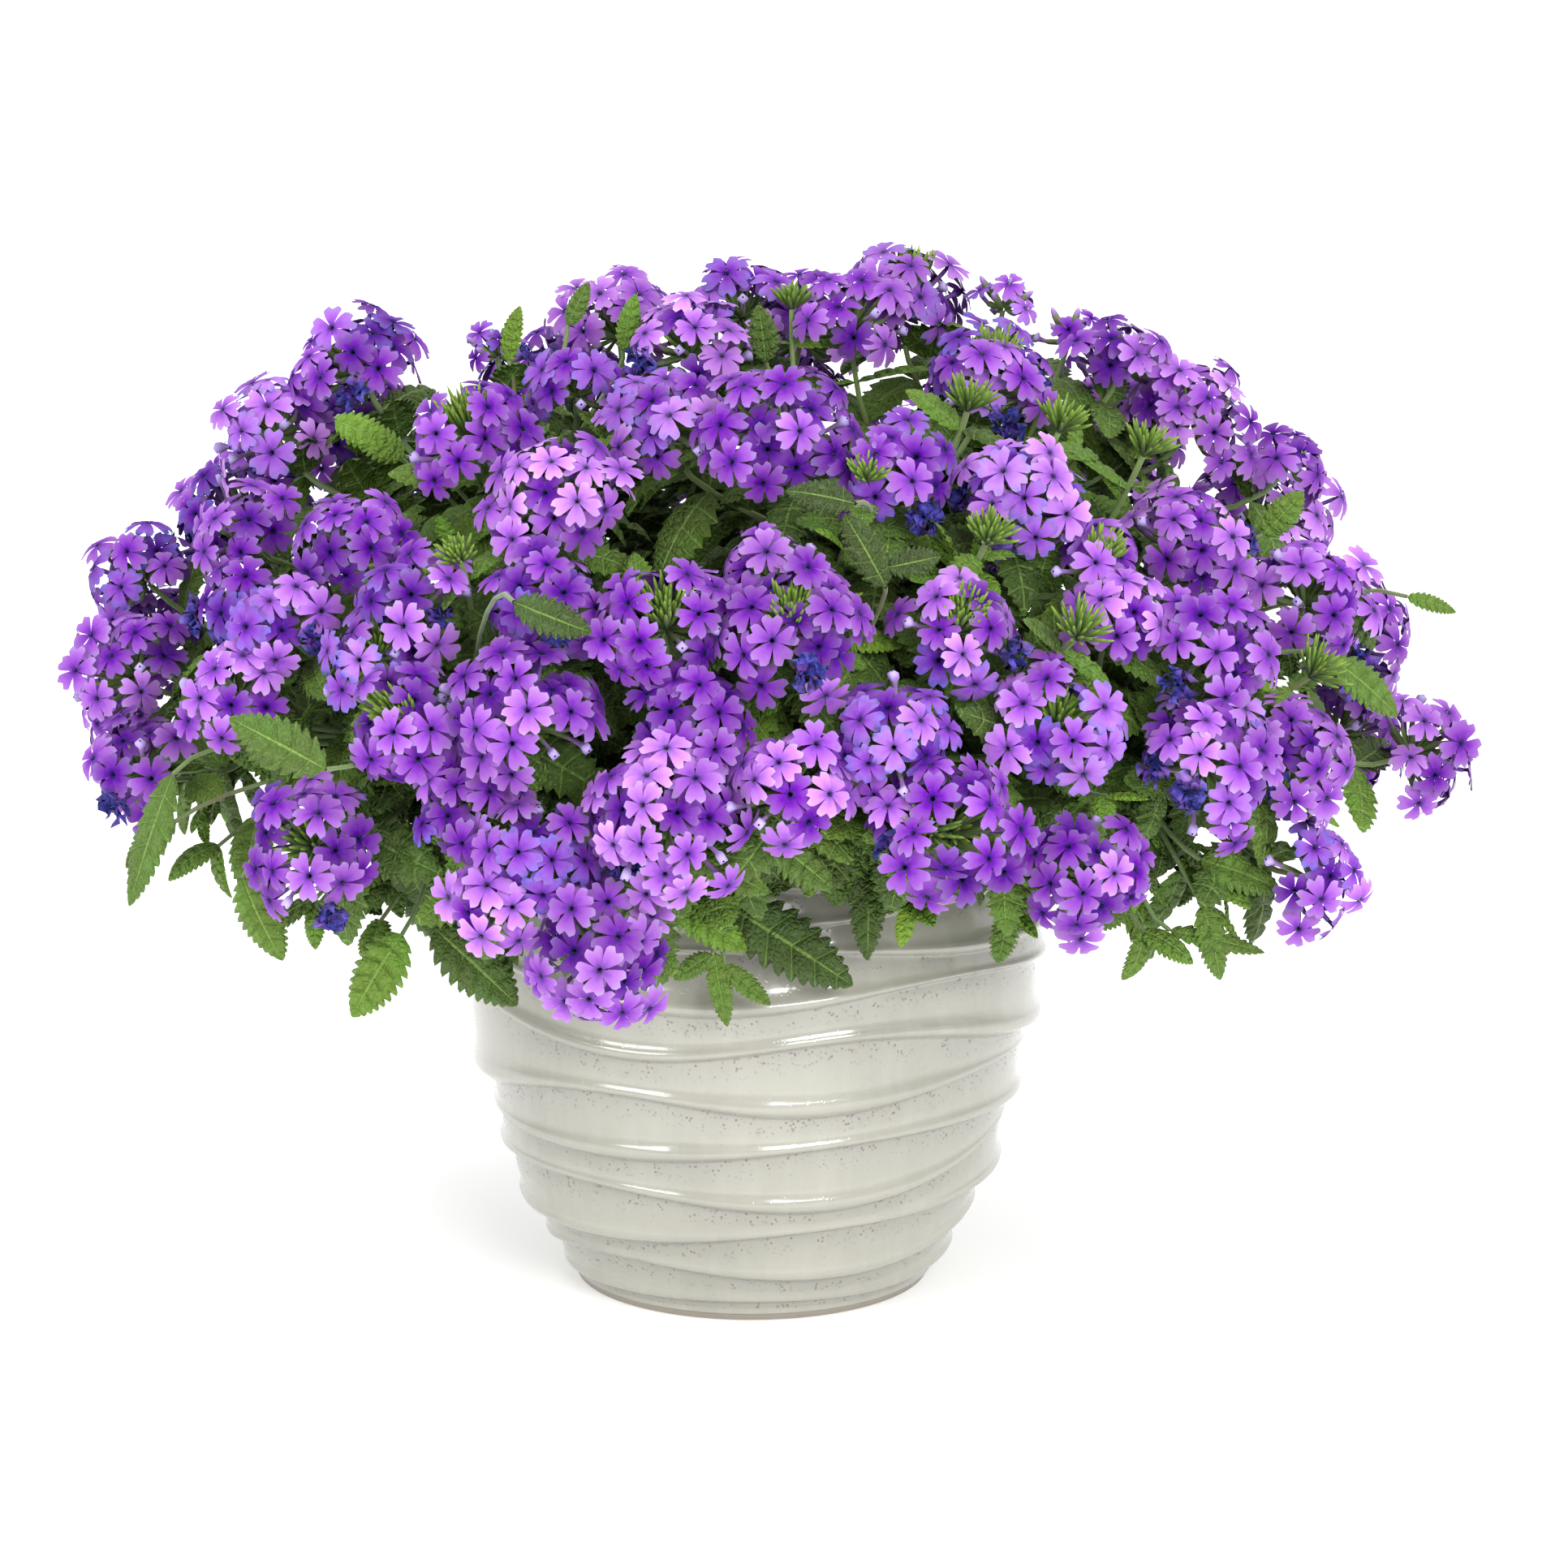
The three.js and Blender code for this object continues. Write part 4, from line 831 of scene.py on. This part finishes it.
def add_spikes(piece, random, hub, facing, radius, share, count, widest, age, thick):
    """A tuft of unopened buds that spread from the hub of a head."""
    reach = share * radius
    for k in range(count):
        tilt = widest * math.sqrt((k + 0.5) / count) + random.uniform(-0.06, 0.06)
        way = tilted(facing, tilt, k * GOLDEN_TURN + random.uniform(-0.2, 0.2))
        length = reach * random.uniform(0.8, 1.08) * (1 - 0.12 * (k < count * 0.3))
        curl = unit(way + 0.35 * facing)
        start = hub + 0.1 * reach * way
        tip = start + length * (0.75 * way + 0.25 * curl)
        points = bezier([start, start + 0.35 * length * way, start + 0.7 * length * way, tip], SPIKE[:, 0])
        tint = random.uniform(0.25, 1)
        tube(piece, points, thick * SPIKE[:, 1], STALK_SIDES, STALKS, tint=tint, age=age)


def dress_head(piece, index, head, random):
    """A head's florets, buds and stalks, without the florets that other heads hide."""
    sprig = head.radius < SPRIG_RADIUS
    tufted, hollow = index in TUFTED_HEADS, index in OPEN_HEADS
    size = FLORET_RADIUS * (SPRIG_FLORET if sprig else 1)
    dome = head.radius - (0.5 if sprig else 1.5)
    cap = 1 - math.cos(WIDEST_TILT)
    count = round(SPRIG_FLORETS if sprig else 2 * cap * FLORET_COVER * (head.radius / size) ** 2)
    others = [other for other in heads if other is not head]
    start = random.uniform(0, FULL_TURN)
    tone = random.uniform(*TONES)
    older = random.random() < OLDER_HEADS
    for k in range(count):
        tilt = math.acos(1 - (k + 0.45) / count * cap) + random.uniform(-0.07, 0.07)
        if (tufted or hollow) and tilt < TUFT_TILT:
            continue
        way = tilted(head.facing, tilt, start + k * GOLDEN_TURN + random.uniform(-0.14, 0.14))
        inner = k % 4 == 1
        place = head.hub + dome * random.uniform(*(INNER_STAND if inner else OUTER_STAND)) * way
        if any(np.linalg.norm(place - other.hub) < HIDDEN_SHARE * (other.radius - 2) for other in others):
            continue
        lean = way + HEAD_LEAN * math.sin(tilt) * head.facing + RANDOM_LEAN * random.normal(size=3)
        lean = unit(lean + (FRONT_LEAN if head.hub[1] < FRONT_DEPTH else BACK_LEAN))
        if tilt > BUD_TILT and random.random() < BUD_SHARE:
            add_stalk(piece, random, head.hub, place + random.uniform(0, 4) * way, lean, BUD, LILAC_BUD)
            continue
        age = 0.0
        if way[2] < LOW_WAY and tilt > LOW_TILT and random.random() < WITHERED_SHARE[older]:
            age = 1.0
        elif older and random.random() < BLUE_SHARE:
            age = random.uniform(*BLUE_AGES)
        grown = size * random.uniform(*FLORET_SIZES)
        # The inner florets' lower tint is painted shade deep in the head.
        tint = np.clip(tone + random.normal(0, TONE_SPREAD) - INNER_PAINTED_SHADE * inner, 0, 1)
        add_floret(piece, random, head.hub, place, lean, grown, tint, age)
    tuft = SPRIG_TUFT if sprig else DENSE_TUFT if tufted else OPEN_TUFT if hollow else SPARSE_TUFT
    add_spikes(piece, random, head.hub, head.facing, head.radius, *tuft)


def nearest_bloom(head):
    """The bloom node whose solid lies closest round a head's hub."""
    def away(name):
        return np.sort(np.linalg.norm(BLOOM_CORNERS[name] - head.hub, axis=1))[:12].mean()

    return min(BLOOM_CORNERS, key=away)


def corners_of(node):
    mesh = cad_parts[node].data
    flat = np.empty(3 * len(mesh.vertices), np.float32)
    mesh.vertices.foreach_get("co", flat)
    return flat.reshape(-1, 3) / MM


BLOOM_CORNERS = {name: corners_of(name) for name in sorted(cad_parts) if name.startswith("blooms")}


def flower_heads():
    """A piece for each bloom node, with all the heads and green tufts that lie nearest to it."""
    pieces = {name: Piece(PETAL, CALYX) for name in BLOOM_CORNERS}
    for index, head in enumerate(heads):
        dress_head(pieces[nearest_bloom(head)], index, head, draws("head", index))
    for index, tuft in enumerate(tufts):
        piece = pieces[nearest_bloom(tuft)]
        add_spikes(piece, draws("tuft", index), tuft.end, tuft.facing, tuft.radius, *LONE_TUFT)
    for name, piece in pieces.items():
        if piece.count:
            piece.make(name.replace("blooms", "flower_heads"), "petals", [name])


# ---- stems and leaves ----

STEMS, LEAVES = 0, 1  # places of a stem's materials
# Fine and coarse blades: teeth on a side, rows of a tooth [place, reach of the edge, vein], and columns.
FINE_BLADE = 11, [[0, 0.73, 0], [0.45, 0.95, 0.3], [0.86, 1.02, 1]], [-1, -0.72, -0.36, 0, 0.36, 0.72, 1]
COARSE_BLADE = 8, [[0, 0.72, 0], [0.78, 1.04, 1]], [-1, -0.5, 0, 0.5, 1]


def leaf_width(t):
    """Half the blade's width at a share of its length, as a share of the widest."""
    return np.clip(t, 0, 1) ** 0.55 * np.clip(1 - t, 0, 1) ** 0.72 * 2.34


def add_leaf(piece, random, root, along, face, length, width, tint, bend=None, fine=False):
    """A toothed blade, quilted between its side veins and curving down to its tip."""
    side = unit(np.cross(along, face))
    up = np.cross(side, along)
    teeth, tooth, columns = FINE_BLADE if fine else COARSE_BLADE
    rows = [[(k + row[0]) / (teeth + 0.2), row[1], row[2] * (k % 2)] for k in range(teeth) for row in tooth]
    rows = np.array([*rows, [1, 1, 0]])
    base, reaches, veins = rows[:, :1], rows[:, 1:2], rows[:, 2:]
    across = np.abs(np.array(columns, float))[None, :]
    t = np.clip(base + LEAF_SWEEP * across * np.sin(math.pi * base), 0, 1)
    edge = 1 - (1 - reaches) * np.clip((across - LEAF_TEETH) / (1 - LEAF_TEETH), 0, 1) ** 2
    half = 0.5 * width * np.maximum(leaf_width(t), 0.03)
    y = np.array(columns, float)[None, :] * half * edge
    curl = random.uniform(*LEAF_CURLS) if bend is None else bend
    sway = random.uniform(*LEAF_SWAYS)
    angle = curl * t
    x = length * np.where(curl > 1e-3, np.sin(angle) / curl, t)
    z = -length * (1 - np.cos(angle)) / max(curl, 1e-3)
    between = (1 - veins) * np.sin(math.pi * np.clip(across * 1.15, 0, 1)) * np.sin(math.pi * t) ** 0.5
    cup = random.uniform(*LEAF_CUPS)
    lift = LEAF_QUILT * width * between + cup * np.abs(y) - LEAF_ROLL * width * across**4 * leaf_width(t)
    x, z = x + lift * np.sin(angle), z + lift * np.cos(angle)
    y = y + sway * length * 0.25 * t**2
    corners = root + x[..., None] * along + y[..., None] * side + z[..., None] * up
    across, veins = np.broadcast_to(across, y.shape), np.broadcast_to(veins, y.shape)
    piece.add(corners, grid_faces(*y.shape), LEAVES, reach=across, across=across, tint=tint, age=veins)


def leaf_pairs(piece, random, curve, pairs, turn, step, spread, tone, fine=False):
    """Pairs of leaves across a stem, each a step further round it than the pair before."""
    for k, (share, length) in enumerate(pairs):
        root = bezier(curve, share)
        for half in (0, math.pi):
            along = unit(tilted(tangent(curve, share), spread, turn + step * k + half) - vec(0, 0, LEAF_SAG))
            face = vec(0, 0, 0.8) + 0.7 * unit(root - vec(0, 0, MOUND_LEVEL)) + 0.25 * random.normal(size=3)
            size = length * random.uniform(*LEAF_LENGTHS)
            tint = np.clip(tone + random.normal(0, LEAF_TONES), 0, 1)
            width = size * random.uniform(*LEAF_WIDTHS)
            add_leaf(piece, random, root, along, face, size, width, tint, fine=fine)


def add_stem(piece, curve, tint, rings, sides, radius, foot, taper):
    shares = np.linspace(0, 1, rings)
    tube(piece, bezier(curve, shares), radius * (foot - taper * shares), sides, STEMS, tint=tint)


def to_dome(bearing, lift):
    """From the dome's middle to its surface, so many degrees above its level."""
    out = bearing_of(bearing) * math.cos(lift * DEG)
    return vec(*(out[:2] * MOUND_HALF), MOUND_RISE * math.sin(lift * DEG))


main_curves = []
for count, first, lift, root in STEM_RINGS:
    for i in range(count):
        bearing = first + 360 * i / count
        out = bearing_of(bearing)
        foot = out * root + vec(0, 0, SOIL_LEVEL - SOIL_DEPTH)
        rise, spread = math.sin(lift * DEG), math.cos(lift * DEG)
        tip = STEM_REACH * to_dome(bearing, lift)
        tip[2] += MOUND_LEVEL + STEM_CLEARANCE * spread
        upright = vec(*foot[:2], SOIL_LEVEL + STEM_FOOT_UPRIGHT)
        leaning = tip - STEM_TIP_STRAIGHT * spread * out
        leaning[2] = tip[2] - STEM_TIP_STRAIGHT * rise
        main_curves.append([foot, upright, leaning, tip])


def best_fork(end):
    """The main stem and the place on it from which the way to a point is short and straight."""
    def cost(choice):
        curve, fork = main_curves[choice[0]], choice[1]
        way = end - bezier(curve, fork)
        return np.linalg.norm(way) * (1.6 - 0.6 * (unit(way) @ tangent(curve, fork)))

    return min(((stem, fork) for stem in range(len(main_curves)) for fork in FORKS), key=cost)


def branch_to(end, facing, bend=0.32):
    """A branch's main stem, and its curve to an end, where it faces a way."""
    stem, fork = best_fork(end)
    start = bezier(main_curves[stem], fork)
    span = np.linalg.norm(end - start)
    leaving = unit(unit(end - start) + tangent(main_curves[stem], fork))
    return stem, [start, start + bend * span * leaving, end - bend * span * facing, end]


def leafy_stems():
    """A piece for each main stem, with its branches, shoots and leaves."""
    pieces = [Piece(STEM, LEAF) for _ in main_curves]
    for stem, (piece, curve) in enumerate(zip(pieces, main_curves)):
        add_stem(piece, curve, 0.15, *MAIN_STEM)
        leaf_pairs(piece, draws("main stem", stem), curve, MAIN_PAIRS, stem, 1.4, *MAIN_LEAVES)
    for index, head in enumerate(heads):
        random = draws("branch", index)
        stem, curve = branch_to(head.hub - 0.05 * head.radius * head.facing, head.facing)
        add_stem(pieces[stem], curve, random.uniform(*STEM_TINTS), *BRANCH)
        turn = random.uniform(0, HALF_TURN)
        leaf_pairs(pieces[stem], random, curve, BRANCH_PAIRS, turn, QUARTER_TURN, *BRANCH_LEAVES)
    for index, tuft in enumerate(tufts):
        random = draws("tuft stem", index)
        stem, curve = branch_to(tuft.end, tuft.facing)
        add_stem(pieces[stem], curve, 0.8, *TUFT_STEM)
        leaf_pairs(pieces[stem], random, curve, TUFT_PAIRS, index, QUARTER_TURN, *TUFT_LEAVES)
    for index, (bearing, reach, height, length) in enumerate(SHOOTS):
        out = bearing_of(bearing)
        tip = out * reach + vec(0, 0, height)
        last = unit(out - vec(0, 0, SHOOT_DROP))
        add_shoot(pieces, draws("shoot", index), tip, last, length, SHOOT_PAIRS, SHOOT_TONE)
    for index, (bearing, lift, length) in enumerate(TIPS):
        way = to_dome(bearing, lift)
        tip = TIP_REACH * way + vec(0, 0, MOUND_LEVEL)
        add_shoot(pieces, draws("tip", index), tip, unit(way), length, TIP_PAIRS, TIP_TONE)
    for index, (x0, z0, x1, z1, depth, width, tone) in enumerate(SINGLE_LEAVES):
        root, tip = vec(x0, -depth, z0), vec(x1, -depth - 2, z1)
        add_single_leaf(pieces, draws("single leaf", index), root, tip, width, tone)
    for stem, piece in enumerate(pieces):
        name = f"{stem + 1:02d}"
        piece.make(f"stem_with_leaves_{name}", "leaf_and_stem", [f"leafy_stem_{name}"])


def add_shoot(pieces, random, tip, last, length, shares, tone):
    """A leafy shoot from a main stem to a tip, with a small last pair."""
    stem, fork = best_fork(tip)
    start = bezier(main_curves[stem], fork)
    leaving = start + 30 * tangent(main_curves[stem], fork)
    curve = [start, leaving, tip - 40 * last, tip]
    add_stem(pieces[stem], curve, random.uniform(*STEM_TINTS), *SHOOT_STEM)
    turn = random.uniform(0, HALF_TURN)
    pairs = [(share, length * (1.05 - 0.25 * share)) for share in shares]
    leaf_pairs(pieces[stem], random, curve, pairs, turn, QUARTER_TURN, YOUNG_SPREAD, tone, True)
    turn += QUARTER_TURN * len(shares)
    end = [(0.98, 0.55 * length)]
    leaf_pairs(pieces[stem], random, curve, end, turn, 0, END_SPREAD, tone + END_TONE, True)


def add_single_leaf(pieces, random, root, tip, width, tone):
    """A leaf from a root to a tip, on a stalk from a main stem."""
    length = np.linalg.norm(tip - root)
    along, outward = unit(tip - root), unit(root * [1, 1, 0])
    stem, curve = branch_to(root, along * 0.4 + outward * 0.3 + vec(0, 0, -0.2), 0.3)
    add_stem(pieces[stem], curve, 0.6, *LEAF_STALK)
    face = 0.5 * outward + vec(0, -0.8, 0.5)
    tint = 0.36 + 0.45 * tone
    bend = random.uniform(0.15, 0.4)
    add_leaf(pieces[stem], random, root, along, face, 1.04 * length, width, tint, bend, fine=True)


glazed_pot()
potting_mix()
flower_heads()
leafy_stems()


# ---- floor, lights and camera ----

FLOOR_HALF = 12.0
FLOOR_COLOR = (0.92, 0.92, 0.92)
# The floor glows a little: painted light that lifts the shadows cast on it.
FLOOR_GLOW = 0.25
# The softboxes, in metres and watts: [name, place, width, height, power].
SOFTBOXES = [
    ["front_right", (0.75, -1.95, 1.0), 1.0, 0.5, 30], ["front_left", (-1.6, -1.5, 0.9), 1.0, 0.4, 14],
]
SOFTBOX_AIM = (0, 0, 0.2)
# Light by height, 0 at the horizon and 1 overhead: [from, to, light there, light there]. The brighter shows:
# the second is a white band that the floor's far edge fades into.
SKY = [[0.0, 1.0, 0.22, 1.8], [0.08, 0.16, 1.1, 0.0]]


def floor():
    mesh = bpy.data.meshes.new("floor")
    corners = [(FLOOR_HALF * x, FLOOR_HALF * y, 0) for x, y in ((-1, -1), (1, -1), (1, 1), (-1, 1))]
    mesh.from_pydata(corners, [], [(0, 1, 2, 3)])
    plane = put("floor", mesh)
    paper = Shader("floor", Base_Color=FLOOR_COLOR, Roughness=1.0, Specular_IOR_Level=0.0)
    # Its glow is painted light that lifts the shadows on the floor.
    mesh.materials.append(paper.finish(Emission_Color=(1, 1, 1), Emission_Strength=FLOOR_GLOW))


def softbox(name, place, width, height, power):
    data = bpy.data.lights.new(name, "AREA")
    data.shape = "RECTANGLE"
    data.size, data.size_y, data.energy = width, height, power
    lamp = put(name, data)
    lamp.location = place
    lamp.rotation_euler = (Vector(SOFTBOX_AIM) - Vector(place)).to_track_quat("-Z", "Y").to_euler()


def camera():
    data = bpy.data.cameras.new("camera")
    data.lens, data.sensor_width, data.clip_end = CAMERA_LENS, CAMERA_SENSOR, CAMERA_CLIP
    eye = put("camera", data)
    back = vec(0, -math.cos(CAMERA_ELEVATION), math.sin(CAMERA_ELEVATION))
    eye.location = (CAMERA_AIM + CAMERA_DISTANCE * back) * MM
    eye.rotation_euler = (math.pi / 2 - CAMERA_ELEVATION, 0, 0)
    bpy.context.scene.camera = eye


def studio():
    world = bpy.data.worlds.new("studio")
    world.use_nodes = True
    s = Nodes(world.node_tree)
    height = s.node("SeparateXYZ", "Z", {0: s.node("TexCoord", "Generated", {})})
    background = s.tree.nodes["Background"].inputs
    s.plug(background["Color"], (1, 1, 1))
    s.plug(background["Strength"], s.math("MAXIMUM", *(s.spread(height, *row) for row in SKY)))
    bpy.context.scene.world = world


floor()
for box in SOFTBOXES:
    softbox(*box)
camera()
studio()
bpy.context.scene.view_settings.view_transform = "Standard"
